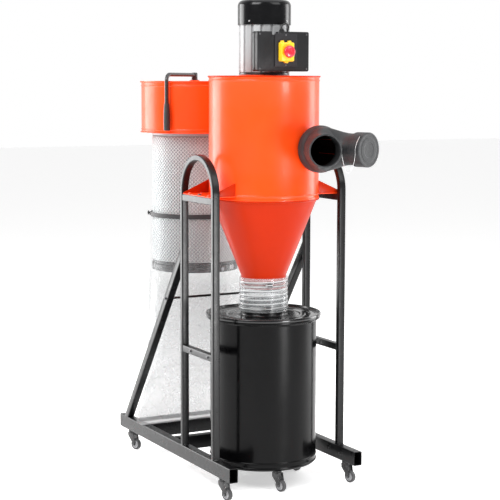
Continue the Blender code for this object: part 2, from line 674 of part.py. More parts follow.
for i in range(4):
    t = 2 * math.pi * (i + 0.5) / 4
    u, w = Vector((math.cos(t), math.sin(t), 0)), Vector((-math.sin(t), math.cos(t), 0))
    foot = Vector((0, AXIS_Y, 0))
    p0, p1 = foot + 0.022 * u, foot + 0.080 * u
    blades.append(prism("vane", [p0 + Vector((0, 0, 1.907)), p1 + Vector((0, 0, 1.907)), p1 + Vector((0, 0, 1.928)), p0 + Vector((0, 0, 1.928))], 0.002 * w))
fuse(rotor, *blades)

# ---------------------------------------------------------------- control box and switch
BOX_FRONT = AXIS_Y - 0.160
box = block("control_box", (-0.1165, BOX_FRONT, 1.684), (0.1165, AXIS_Y - 0.114, 1.8405), ((0.012, 0.012, 0.013), 0.38, 0.0), bevel=0.003)
cut(
    box,
    block("pocket", (-0.1125, BOX_FRONT + 0.003, 1.688), (0.1125, AXIS_Y - 0.118, 1.8235)),
    block("top_notch", (-0.051, BOX_FRONT - 0.005, 1.8275), (-0.011, AXIS_Y - 0.110, 1.845)),
    block("wire_way", (-0.012, AXIS_Y - 0.120, 1.745), (0.012, AXIS_Y - 0.110, 1.775)),
)
gland = lathe("gland", [(0, 1.8395), (0.011, 1.8395), (0.011, 1.846), (0.008, 1.8475), (0.008, 1.8525), (0, 1.8525)], steps=12, at=(0.004, AXIS_Y - 0.139))
fuse(box, gland)
SWITCH_X, SWITCH_Z = 0.0045, 1.761
plate = block("switch_plate", (-0.0415, BOX_FRONT - 0.0043, 1.7020), (0.0595, BOX_FRONT - GAP, 1.8330), ((0.02, 0.02, 0.022), 0.45, 0.0), bevel=0.0008)
yellow = ((0.95, 0.62, 0.02), 0.35, 0.0)
base_y = BOX_FRONT - 0.0043 - GAP
switch = block("switch_body", (SWITCH_X - 0.030, base_y - 0.016, 1.7195), (SWITCH_X + 0.030, base_y, 1.8025), yellow, bevel=0.0015)
# Recess for the start button under the cover.
cut(switch, block("recess", (SWITCH_X - 0.009, base_y - 0.020, 1.733), (SWITCH_X + 0.009, base_y - 0.008, 1.751)))
start = block("start_button", (SWITCH_X - 0.0085, base_y - 0.0155, 1.7335), (SWITCH_X + 0.0085, base_y - 0.0115, 1.7505), ((0.02, 0.35, 0.08), 0.35, 0.0), bevel=0.0008)
flap_back = base_y - 0.016 - GAP
flap = block("switch_cover", (SWITCH_X - 0.029, flap_back - 0.008, 1.7205), (SWITCH_X + 0.029, flap_back, 1.7980), yellow, bevel=0.0015)
cut(flap, lathe("knob_hole", [(0, -0.02), (0.0095, -0.02), (0.0095, 0.02), (0, 0.02)], steps=20, at=(SWITCH_X, flap_back - 0.004), axis="Y", base=SWITCH_Z))
knob_profile = [(0, 0.0055), (0.0092, 0.0055), (0.0092, 0.0150), (0.0225, 0.0165), (0.0245, 0.0205), (0.0230, 0.0270), (0.0140, 0.0302), (0, 0.0308)]
knob = lathe("stop_knob", knob_profile, ((0.75, 0.02, 0.015), 0.3, 0.0), steps=20, at=(SWITCH_X, flap_back), axis="Y", base=SWITCH_Z)

# Cable from the gland on the box over its edge to the motor.
cable_points = [(0.004, -0.139, 1.8530), (0.004, -0.139, 1.8605), (0.010, -0.1385, 1.8690), (0.022, -0.1360, 1.8725), (0.035, -0.1300, 1.8695), (0.044, -0.1200, 1.8610), (0.048, -0.1100, 1.8490), (0.0485, -0.1045, 1.8340), (0.0485, -0.1035, 1.8150), (0.0485, -0.1035, 1.7955)]
path = [Vector((x, AXIS_Y + y, z)) for x, y, z in cable_points]
rings = []
for i, p in enumerate(path):
    tangent = (path[min(i + 1, len(path) - 1)] - path[max(i - 1, 0)]).normalized()
    rings.append(circle(p, tangent, 0.0034, 8, up=(0, 1, 0)))
loft("control_cable", rings, ((0.01, 0.01, 0.01), 0.5, 0.0))

# ---------------------------------------------------------------- filter side
manifold = lathe(
    "filter_manifold",
    [
        (0.0085, MANIFOLD_Z1 - 0.006),
        (0.0085, MANIFOLD_Z1 + 0.004),
        (0.022, MANIFOLD_Z1 + 0.004),
        (0.024, MANIFOLD_Z1 - 0.004),
        (MANIFOLD_R - 0.003, MANIFOLD_Z1 - 0.004),
        (MANIFOLD_R - 0.002, MANIFOLD_Z1),
        (MANIFOLD_RIM_R, MANIFOLD_Z1),
        (MANIFOLD_RIM_R, MANIFOLD_Z1 - 0.004),
        (MANIFOLD_R, MANIFOLD_Z1 - 0.006),
        (MANIFOLD_R, MANIFOLD_Z0 + 0.006),
        (MANIFOLD_RIM_R - 0.001, MANIFOLD_Z0 + 0.004),
        (MANIFOLD_RIM_R - 0.001, MANIFOLD_Z0),
        (0.150, MANIFOLD_Z0),
        (0.150, MANIFOLD_Z0 + 0.002),
        (MANIFOLD_R - SHEET, MANIFOLD_Z0 + 0.002),
        (MANIFOLD_R - SHEET, MANIFOLD_Z1 - 0.006),
    ],
    ORANGE,
    steps=BIG,
    at=(0, FILTER_Y),
)
cut(manifold, block("outlet_window", (0.032, AXIS_Y + 0.30, 1.475), (0.198, FILTER_Y - 0.02, 1.615)))
duct = rect_tube("outlet_duct", (0.026, AXIS_Y + 0.05, 1.469), (0.204, FILTER_Y - 0.05, 1.621), "Y", ORANGE)
cut(
    duct,
    lathe("clear_a", [(0, 1.3), (BARREL_R + GAP, 1.3), (BARREL_R + GAP, 1.7), (0, 1.7)], steps=BIG),
    lathe("clear_b", [(0, 1.3), (MANIFOLD_R + GAP, 1.3), (MANIFOLD_R + GAP, 1.7), (0, 1.7)], steps=BIG, at=(0, FILTER_Y)),
)
lathe(
    "canister_filter",
    [(CAN_R, CAN_Z0), (CAN_R, MANIFOLD_Z0 - GAP), (CAN_IN_R, MANIFOLD_Z0 - GAP), (CAN_IN_R, CAN_Z0)],
    ((0.86, 0.87, 0.88), 0.6, 0.0),
    steps=MED,
    at=(0, FILTER_Y),
)
lathe(
    "canister_ring",
    [(CAN_R + 0.0015, CAN_Z0 - 0.0305), (CAN_R + 0.0015, CAN_Z0 - GAP), (CAN_IN_R - 0.002, CAN_Z0 - GAP), (CAN_IN_R - 0.002, CAN_Z0 - 0.0305)],
    ((0.03, 0.03, 0.032), 0.5, 0.0),
    steps=MED,
    at=(0, FILTER_Y),
)
# Film bag: round over the canister, drawn out to a flat seam along X at the bottom.
bag_steps = 32


def bag_ring(a, b, z, y, power=1.0):
    ring = []
    for i in range(bag_steps):
        t = 2 * math.pi * i / bag_steps
        c, s = math.cos(t), math.sin(t)
        ring.append((a * math.copysign(abs(c) ** power, c), y + b * math.copysign(abs(s) ** power, s), z))
    return ring


BAG_SECTIONS = [
    # half width, half depth, height, y of the middle
    (BAG_R, BAG_R, BAG_TOP, FILTER_Y),
    (BAG_R, BAG_R, 0.815, FILTER_Y),
    (0.2150, 0.190, 0.740, FILTER_Y),
    (0.2320, 0.168, 0.500, FILTER_Y - 0.006),
    (0.2560, 0.125, 0.330, FILTER_Y - 0.024),
    (0.2830, 0.075, 0.240, FILTER_Y - 0.042),
    (0.3140, 0.026, 0.172, FILTER_Y - 0.056),
    (0.3200, 0.006, BAG_BOTTOM, FILTER_Y - 0.062),
]
outer = [bag_ring(a, b, z, y) for a, b, z, y in BAG_SECTIONS]
skin = 0.0015
inside = [bag_ring(a - skin, b - skin, z + (0.004 if z == BAG_BOTTOM else 0.0), y) for a, b, z, y in BAG_SECTIONS]
bm = bmesh.new()
shells = []
for rings in (outer, inside):
    rows = [[bm.verts.new(p) for p in ring] for ring in rings]
    for a, b in zip(rows, rows[1:]):
        for j in range(bag_steps):
            k = (j + 1) % bag_steps
            bm.faces.new((a[j], a[k], b[k], b[j]))
    bm.faces.new(rows[-1])
    shells.append(rows[0])
for j in range(bag_steps):
    k = (j + 1) % bag_steps
    bm.faces.new((shells[0][j], shells[0][k], shells[1][k], shells[1][j]))
finish(bm, "collection_bag", ((0.9, 0.91, 0.92), 0.3, 0.0), 0.5)

strap = lathe(
    "bag_strap",
    [(BAG_R + GAP, 1.044), (BAG_R + 0.0028, 1.044), (BAG_R + 0.0028, 1.064), (BAG_R + GAP, 1.064)],
    ((0.02, 0.02, 0.02), 0.6, 0.0),
    steps=bag_steps,
    at=(0, FILTER_Y),
)
turn = math.radians(-116)
r = BAG_R + 0.002
knob_at = Matrix.Translation((r * math.sin(turn), FILTER_Y - r * math.cos(turn), 1.054)) @ Matrix.Rotation(turn, 4, "Z")
buckle = block("buckle", (-0.013, -0.005, -0.008), (0.013, 0.0006, 0.008), bevel=0.001)
post = lathe("post", [(0, 0.0008), (0.004, 0.0008), (0.004, 0.008), (0.0085, 0.008), (0.0085, 0.015), (0, 0.015)], steps=12, at=(0, 0), axis="Y")
for piece in (buckle, post):
    piece.matrix_world = knob_at @ piece.matrix_basis
bpy.context.view_layer.update()
fuse(strap, buckle, post)

# Crank over the manifold, with the cleaning flapper on its shaft.
CRANK_HEADING = math.radians(-53)
ARM_R, ARM_REACH, ARM_Z = 0.0085, 0.263, 1.6735
out = Vector((math.sin(CRANK_HEADING), -math.cos(CRANK_HEADING), 0))
centre = Vector((0, FILTER_Y, 0))
bend = 0.028
arm_path = [centre + 0.004 * out + Vector((0, 0, ARM_Z)), centre + 0.03 * out + Vector((0, 0, ARM_Z)), centre + (ARM_REACH - bend) * out + Vector((0, 0, ARM_Z))]
for i in range(1, 6):
    t = math.pi / 2 * i / 5
    arm_path.append(centre + (ARM_REACH - bend + bend * math.sin(t)) * out + Vector((0, 0, ARM_Z - bend + bend * math.cos(t))))
arm_path.append(centre + ARM_REACH * out + Vector((0, 0, 1.4420)))
side_dir = Vector((0, 0, 1)).cross(out)
rings = []
for i, p in enumerate(arm_path):
    tangent = (arm_path[min(i + 1, len(arm_path) - 1)] - arm_path[max(i - 1, 0)]).normalized()
    v = tangent.cross(side_dir).normalized()
    rings.append([p + ARM_R * (math.cos(2 * math.pi * j / 8) * side_dir + math.sin(2 * math.pi * j / 8) * v) for j in range(8)])
crank = loft("crank", rings, ((0.03, 0.03, 0.033), 0.35, 0.6))
hub = lathe("crank_hub", [(0, 1.6505), (0.0135, 1.6505), (0.0135, 1.668), (0.0130, 1.684), (0, 1.684)], steps=16, at=(0, FILTER_Y))
shaft = lathe("crank_shaft", [(0, 0.900), (0.0078, 0.900), (0.0078, 1.655), (0, 1.655)], steps=16, at=(0, FILTER_Y))
fuse(crank, hub, shaft)
flap_pieces = []
flapper = lathe("flapper", [(0.0081, 0.930), (0.016, 0.930), (0.016, 1.380), (0.0081, 1.380)], ((0.05, 0.05, 0.05), 0.7, 0.0), steps=16, at=(0, FILTER_Y))
for s in (-1, 1):
    x0, x1 = s * 0.014, s * 0.148
    flap_pieces.append(block("paddle", (min(x0, x1), FILTER_Y - 0.0015, 0.940), (max(x0, x1), FILTER_Y + 0.0015, 1.370)))
fuse(flapper, *flap_pieces)
grip_c = centre + ARM_REACH * out
lathe(
    "crank_grip",
    [(ARM_R + GAP, 1.4325), (0.0120, 1.4325), (0.0138, 1.436), (0.0145, 1.470), (0.0138, 1.520), (0.0112, 1.550), (ARM_R + GAP, 1.550)],
    ((0.02, 0.02, 0.021), 0.45, 0.0),
    steps=16,
    at=(grip_c.x, grip_c.y),
)

# ---------------------------------------------------------------- origin
# The overall box's bottom centre stands at the origin.
ORIGIN_SHIFT = Vector((0.0, 0.0051, DATUM))
for obj in bpy.data.objects:
    if obj.parent is None:
        obj.location += ORIGIN_SHIFT
bpy.context.view_layer.update()
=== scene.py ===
"""Looks of the portable two-stage dust collector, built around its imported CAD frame. Metres, +Z up."""

import math

import bmesh
import bpy
import numpy as np
from mathutils import Matrix, Vector, noise


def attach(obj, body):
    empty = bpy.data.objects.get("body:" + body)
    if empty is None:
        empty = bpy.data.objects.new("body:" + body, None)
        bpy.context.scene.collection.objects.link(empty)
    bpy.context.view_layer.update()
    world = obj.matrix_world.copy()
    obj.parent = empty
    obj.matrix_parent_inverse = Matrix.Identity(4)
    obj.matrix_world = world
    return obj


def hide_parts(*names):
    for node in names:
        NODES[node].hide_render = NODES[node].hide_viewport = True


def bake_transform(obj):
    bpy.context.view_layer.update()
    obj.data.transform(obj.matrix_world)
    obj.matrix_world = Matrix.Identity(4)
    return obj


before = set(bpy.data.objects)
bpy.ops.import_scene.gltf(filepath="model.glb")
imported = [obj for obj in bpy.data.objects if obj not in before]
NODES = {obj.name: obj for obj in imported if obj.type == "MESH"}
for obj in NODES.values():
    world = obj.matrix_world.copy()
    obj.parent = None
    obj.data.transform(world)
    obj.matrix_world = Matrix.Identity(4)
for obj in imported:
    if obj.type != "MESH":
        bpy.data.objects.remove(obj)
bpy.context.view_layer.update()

SCENE = bpy.context.scene
AY = -0.2284  # Y of the cyclone's axis
FY = 0.4236  # Y of the filter's axis
PI = math.pi


# ------------------------------------------------------------------ materials
def new_material(name):
    made = bpy.data.materials.new(name)
    made.use_nodes = True
    tree = made.node_tree
    return made, tree, tree.nodes["Principled BSDF"]


def put(shader, name, value):
    if name in shader.inputs:
        shader.inputs[name].default_value = value


def surface(
    name,
    colour,
    rough=0.4,
    metallic=0.0,
    vary=0.06,
    vary_scale=14.0,
    rough_vary=0.06,
    grain=0.0,
    grain_scale=900.0,
    wave=0.0,
    wave_scale=30.0,
    coat=0.0,
    coat_rough=0.06,
    specular=0.5,
    stretch=(1.0, 1.0, 1.0),
    sheen=0.0,
    speck=0.0,
    speck_scale=260.0,
    alpha=1.0,
    transmission=0.0,
    ior=1.5,
):
    """A Principled surface whose colour, roughness and relief come from noise in the piece's own coordinates."""
    made, tree, shader = new_material(name)
    add, link = tree.nodes.new, tree.links.new
    where = add("ShaderNodeTexCoord")
    scale = add("ShaderNodeMapping")
    scale.inputs["Scale"].default_value = stretch
    link(where.outputs["Object"], scale.inputs["Vector"])

    def noise_node(size, detail, rough_in=0.55):
        node = add("ShaderNodeTexNoise")
        node.inputs["Scale"].default_value = size
        node.inputs["Detail"].default_value = detail
        node.inputs["Roughness"].default_value = rough_in
        link(scale.outputs["Vector"], node.inputs["Vector"])
        return node

    broad = noise_node(vary_scale, 5.0)
    ramp = add("ShaderNodeMapRange")
    ramp.inputs["From Min"].default_value, ramp.inputs["From Max"].default_value = 0.3, 0.7
    ramp.inputs["To Min"].default_value, ramp.inputs["To Max"].default_value = 1.0 - vary, 1.0 + vary * 0.5
    link(broad.outputs["Fac"], ramp.inputs["Value"])
    tint = add("ShaderNodeMix")
    tint.data_type, tint.blend_type = "RGBA", "MULTIPLY"
    tint.inputs["Factor"].default_value = 1.0
    tint.inputs[6].default_value = (*colour, 1.0)
    link(ramp.outputs["Result"], tint.inputs[7])
    result = tint.outputs[2]
    if speck:
        fleck = noise_node(speck_scale, 2.0)
        level = add("ShaderNodeMapRange")
        level.inputs["From Min"].default_value, level.inputs["From Max"].default_value = 0.35, 0.65
        level.inputs["To Min"].default_value, level.inputs["To Max"].default_value = 1.0 - speck, 1.0 + speck
        link(fleck.outputs["Fac"], level.inputs["Value"])
        more = add("ShaderNodeMix")
        more.data_type, more.blend_type = "RGBA", "MULTIPLY"
        more.inputs["Factor"].default_value = 1.0
        link(result, more.inputs[6])
        link(level.outputs["Result"], more.inputs[7])
        result = more.outputs[2]
    link(result, shader.inputs["Base Color"])
    patch = noise_node(vary_scale * 2.7, 4.0)
    rough_map = add("ShaderNodeMapRange")
    rough_map.inputs["From Min"].default_value, rough_map.inputs["From Max"].default_value = 0.3, 0.7
    rough_map.inputs["To Min"].default_value = max(0.02, rough - rough_vary)
    rough_map.inputs["To Max"].default_value = min(1.0, rough + rough_vary)
    link(patch.outputs["Fac"], rough_map.inputs["Value"])
    link(rough_map.outputs["Result"], shader.inputs["Roughness"])
    normal = None
    if wave:
        swell = noise_node(wave_scale, 2.0)
        bump = add("ShaderNodeBump")
        bump.inputs["Strength"].default_value = 1.0
        bump.inputs["Distance"].default_value = wave
        link(swell.outputs["Fac"], bump.inputs["Height"])
        normal = bump
    if grain:
        fine = noise_node(grain_scale, 3.0)
        bump = add("ShaderNodeBump")
        bump.inputs["Strength"].default_value = 1.0
        bump.inputs["Distance"].default_value = grain
        link(fine.outputs["Fac"], bump.inputs["Height"])
        if normal:
            link(normal.outputs["Normal"], bump.inputs["Normal"])
        normal = bump
    if normal:
        link(normal.outputs["Normal"], shader.inputs["Normal"])
    put(shader, "Metallic", metallic)
    put(shader, "Specular IOR Level", specular)
    put(shader, "Coat Weight", coat)
    put(shader, "Coat Roughness", coat_rough)
    put(shader, "Sheen Weight", sheen)
    put(shader, "Alpha", alpha)
    put(shader, "Transmission Weight", transmission)
    put(shader, "IOR", ior)
    return made


M = {
    "orange": surface("orange_paint", (0.90, 0.060, 0.0040), 0.34, vary=0.04, vary_scale=5.0, coat=0.15, coat_rough=0.10, specular=0.22, grain=0.00002, grain_scale=420.0, wave=0.00006, wave_scale=16.0),
    # The same orange paint made darker: painted shade for the cone, the bracket gussets and the barrel's top lip.
    "painted_shade_orange": surface("orange_paint_shade", (0.42, 0.0195, 0.0012), 0.34, vary=0.05, vary_scale=5.0, coat=0.03, coat_rough=0.10, specular=0.07, grain=0.00002, grain_scale=420.0, wave=0.00006, wave_scale=16.0),
    "black": surface("black_frame_paint", (0.0055, 0.0055, 0.006), 0.30, vary=0.25, vary_scale=9.0, rough_vary=0.05, grain=0.00004, grain_scale=700.0, coat=0.07, coat_rough=0.16, specular=0.22, wave=0.00004, wave_scale=24.0),
    "drum": surface("black_drum_paint", (0.0014, 0.0014, 0.0016), 0.20, vary=0.25, vary_scale=7.0, rough_vary=0.05, grain=0.00003, grain_scale=520.0, coat=0.02, coat_rough=0.10, specular=0.11, wave=0.00010, wave_scale=13.0),
    "lid": surface("black_lid_paint", (0.0055, 0.0055, 0.006), 0.20, vary=0.25, vary_scale=9.0, rough_vary=0.04, grain=0.00002, grain_scale=520.0, coat=0.25, coat_rough=0.08, specular=0.42, wave=0.00010, wave_scale=13.0),
    "plastic": surface("inlet_plastic", (0.021, 0.022, 0.0235), 0.50, specular=0.35, vary=0.12, vary_scale=22.0, grain=0.00016, grain_scale=620.0, speck=0.14, speck_scale=300.0),
    "cap_plastic": surface("cap_plastic", (0.022, 0.023, 0.0245), 0.52, specular=0.40, vary=0.20, vary_scale=60.0, grain=0.00030, grain_scale=420.0, speck=0.26, speck_scale=230.0),
    "motor": surface("motor_alloy", (0.31, 0.315, 0.32), 0.46, metallic=0.20, vary=0.05, vary_scale=30.0, grain=0.00006, grain_scale=900.0, speck=0.04),
    "rotor": surface("rotor_steel", (0.45, 0.46, 0.47), 0.34, metallic=1.0, vary=0.10, grain=0.00004, stretch=(1, 1, 0.15)),
    "cowl": surface("cowl_plastic", (0.004, 0.004, 0.0045), 0.20, vary=0.2, rough_vary=0.03, coat=0.12, coat_rough=0.06, specular=0.20, wave=0.00005, wave_scale=30.0, grain=0.00001),
    "box": surface("switch_box_plastic", (0.008, 0.008, 0.009), 0.42, specular=0.24, vary=0.12, vary_scale=40.0, grain=0.00008, grain_scale=1100.0, speck=0.10, speck_scale=500.0),
    "plate": surface("switch_plate_plastic", (0.014, 0.0135, 0.016), 0.45, specular=0.26, vary=0.12, vary_scale=50.0, grain=0.00008, grain_scale=1200.0, speck=0.10, speck_scale=600.0),
    "cable": surface("cable_rubber", (0.012, 0.012, 0.012), 0.45, vary=0.15, grain=0.00005),
    "yellow": surface("switch_yellow", (0.90, 0.56, 0.015), 0.30, vary=0.05, vary_scale=50.0, coat=0.3, grain=0.00003, grain_scale=1200.0),
    "red": surface("stop_red", (0.70, 0.012, 0.028), 0.27, vary=0.05, vary_scale=50.0, coat=0.4, grain=0.00002, grain_scale=1200.0),
    "green": surface("start_green", (0.02, 0.30, 0.08), 0.3, vary=0.05, vary_scale=50.0, coat=0.3, grain=0.00002),
    "bright": surface("clamp_steel", (0.42, 0.42, 0.42), 0.34, metallic=0.6, vary=0.08, vary_scale=40.0, rough_vary=0.05, grain=0.00002, stretch=(1, 1, 6)),
    "clamp_box": surface("clamp_housing", (0.045, 0.045, 0.048), 0.42, metallic=0.2, vary=0.15, vary_scale=60.0, grain=0.00003),
    "bolt": surface("bolt_steel", (0.09, 0.09, 0.095), 0.34, metallic=0.6, vary=0.15, vary_scale=80.0, grain=0.00003),
    "orange_bolt": surface("painted_bolt", (0.80, 0.065, 0.010), 0.30, vary=0.06, vary_scale=60.0, coat=0.6, grain=0.00003),
    "caster": surface("caster_steel", (0.012, 0.012, 0.013), 0.28, vary=0.2, vary_scale=60.0, coat=0.25, specular=0.4, coat_rough=0.12, grain=0.00003),
    "tread": surface("caster_tread", (0.040, 0.040, 0.042), 0.55, vary=0.2, vary_scale=90.0, grain=0.00006, grain_scale=1500.0),
    "hub": surface("caster_hub", (0.30, 0.30, 0.31), 0.35, vary=0.08, vary_scale=90.0, grain=0.00003),
    # Mid grey, darker than the pale pleats: painted shade in the pleats between the sleeve's strands.
    "paper": surface("filter_paper_painted_shade", (0.40, 0.415, 0.42), 0.8, vary=0.06, vary_scale=50.0, grain=0.00010, grain_scale=1500.0, speck=0.03, specular=0.2),
    "wire": surface("sheath_steel", (0.74, 0.765, 0.77), 0.42, metallic=0.15, vary=0.10, vary_scale=60.0, grain=0.00003),
    "band": surface("canister_band", (0.014, 0.014, 0.015), 0.42, vary=0.15, vary_scale=60.0, grain=0.00006),
    "web": surface("strap_web", (0.013, 0.013, 0.014), 0.62, vary=0.2, vary_scale=300.0, grain=0.00020, grain_scale=900.0, sheen=0.15, stretch=(1, 1, 3)),
    "crank": surface("crank_paint", (0.020, 0.020, 0.021), 0.30, vary=0.15, vary_scale=60.0, coat=0.35, coat_rough=0.12, grain=0.00003),
    "grip": surface("grip_plastic", (0.018, 0.019, 0.020), 0.48, vary=0.12, vary_scale=80.0, grain=0.00010, grain_scale=900.0),
    # A dark brown that paints in the shade inside the barrel, its inlet bore and the vortex tube.
    "inner": surface("barrel_inside_painted_shade", (0.050, 0.016, 0.012), 0.55, vary=0.2, vary_scale=12.0, grain=0.00008, specular=0.2),
    "rubber": surface("flapper_rubber", (0.03, 0.03, 0.03), 0.7, vary=0.15, grain=0.00008),
    "tether": surface("tether_wire", (0.66, 0.66, 0.66), 0.3, metallic=1.0, vary=0.10, vary_scale=200.0, grain=0.00003),
    # The ridge's shape is real; its pale colour, lighter than the clear wall, is painted highlight along the hose's
    # ridges.
    "hose_ridge": surface("hose_ridge", (0.74, 0.75, 0.76), 0.16, vary=0.05, vary_scale=60.0, alpha=0.62, coat=0.3, grain=0.00002),
    "hose_wire": surface("hose_helix", (0.13, 0.135, 0.14), 0.3, metallic=0.3, vary=0.10, vary_scale=80.0, grain=0.00002),
    "dark": surface("motor_flange_paint", (0.014, 0.014, 0.015), 0.32, vary=0.15, vary_scale=40.0, grain=0.00003, coat=0.2),
    "hose": surface("clear_hose", (0.52, 0.54, 0.55), 0.14, vary=0.04, vary_scale=30.0, rough_vary=0.04, alpha=0.26, wave=0.0003, wave_scale=45.0, grain=0.00003, coat=0.3),
    "film": surface("bag_film", (0.38, 0.392, 0.396), 0.24, vary=0.05, vary_scale=9.0, rough_vary=0.08, alpha=0.30, wave=0.0008, wave_scale=26.0, grain=0.00010, grain_scale=110.0),
    "seam": surface("bag_seam", (0.36, 0.365, 0.37), 0.35, vary=0.10, vary_scale=30.0, alpha=0.80, wave=0.0006, wave_scale=60.0, grain=0.0002, grain_scale=300.0),
}



def film_alpha():
    """The film hides less where it lies close over the canister, and more where two slack layers hang below it."""
    tree = M["film"].node_tree
    shader = tree.nodes["Principled BSDF"]
    where = tree.nodes.new("ShaderNodeTexCoord")
    split = tree.nodes.new("ShaderNodeSeparateXYZ")
    tree.links.new(where.outputs["Object"], split.inputs["Vector"])
    by_height = tree.nodes.new("ShaderNodeMapRange")
    by_height.inputs["From Min"].default_value, by_height.inputs["From Max"].default_value = 0.70, 0.86
    by_height.inputs["To Min"].default_value, by_height.inputs["To Max"].default_value = 0.46, 0.16
    tree.links.new(split.outputs["Z"], by_height.inputs["Value"])
    tree.links.new(by_height.outputs["Result"], shader.inputs["Alpha"])


film_alpha()


# ------------------------------------------------------------------ shapes
def fillet(points, default=0.0, n=4, closed=True):
    """Rounds the corners of an outline. A point is (u, v) or (u, v, radius)."""
    out, count = [], len(points)
    for i, p in enumerate(points):
        radius = p[2] if len(p) > 2 else default
        b = Vector(p[:2])
        if radius <= 0 or (not closed and i in (0, count - 1)):
            out.append((b.x, b.y))
            continue
        a, c = Vector(points[i - 1][:2]), Vector(points[(i + 1) % count][:2])
        u, w = a - b, c - b
        lu, lw = u.length, w.length
        u, w = u / lu, w / lw
        angle = math.acos(max(-1.0, min(1.0, u.dot(w))))
        if angle > PI - 0.03 or angle < 0.03:
            out.append((b.x, b.y))
            continue
        t = min(radius / math.tan(angle / 2), 0.49 * lu, 0.49 * lw)
        r = t * math.tan(angle / 2)
        centre = b + (u + w).normalized() * (r / math.sin(angle / 2))
        p1, p2 = b + u * t - centre, b + w * t - centre
        a1, a2 = math.atan2(p1.y, p1.x), math.atan2(p2.y, p2.x)
        d = (a2 - a1 + PI) % (2 * PI) - PI
        for k in range(n + 1):
            s = a1 + d * k / n
            out.append((centre.x + r * math.cos(s), centre.y + r * math.sin(s)))
    return out


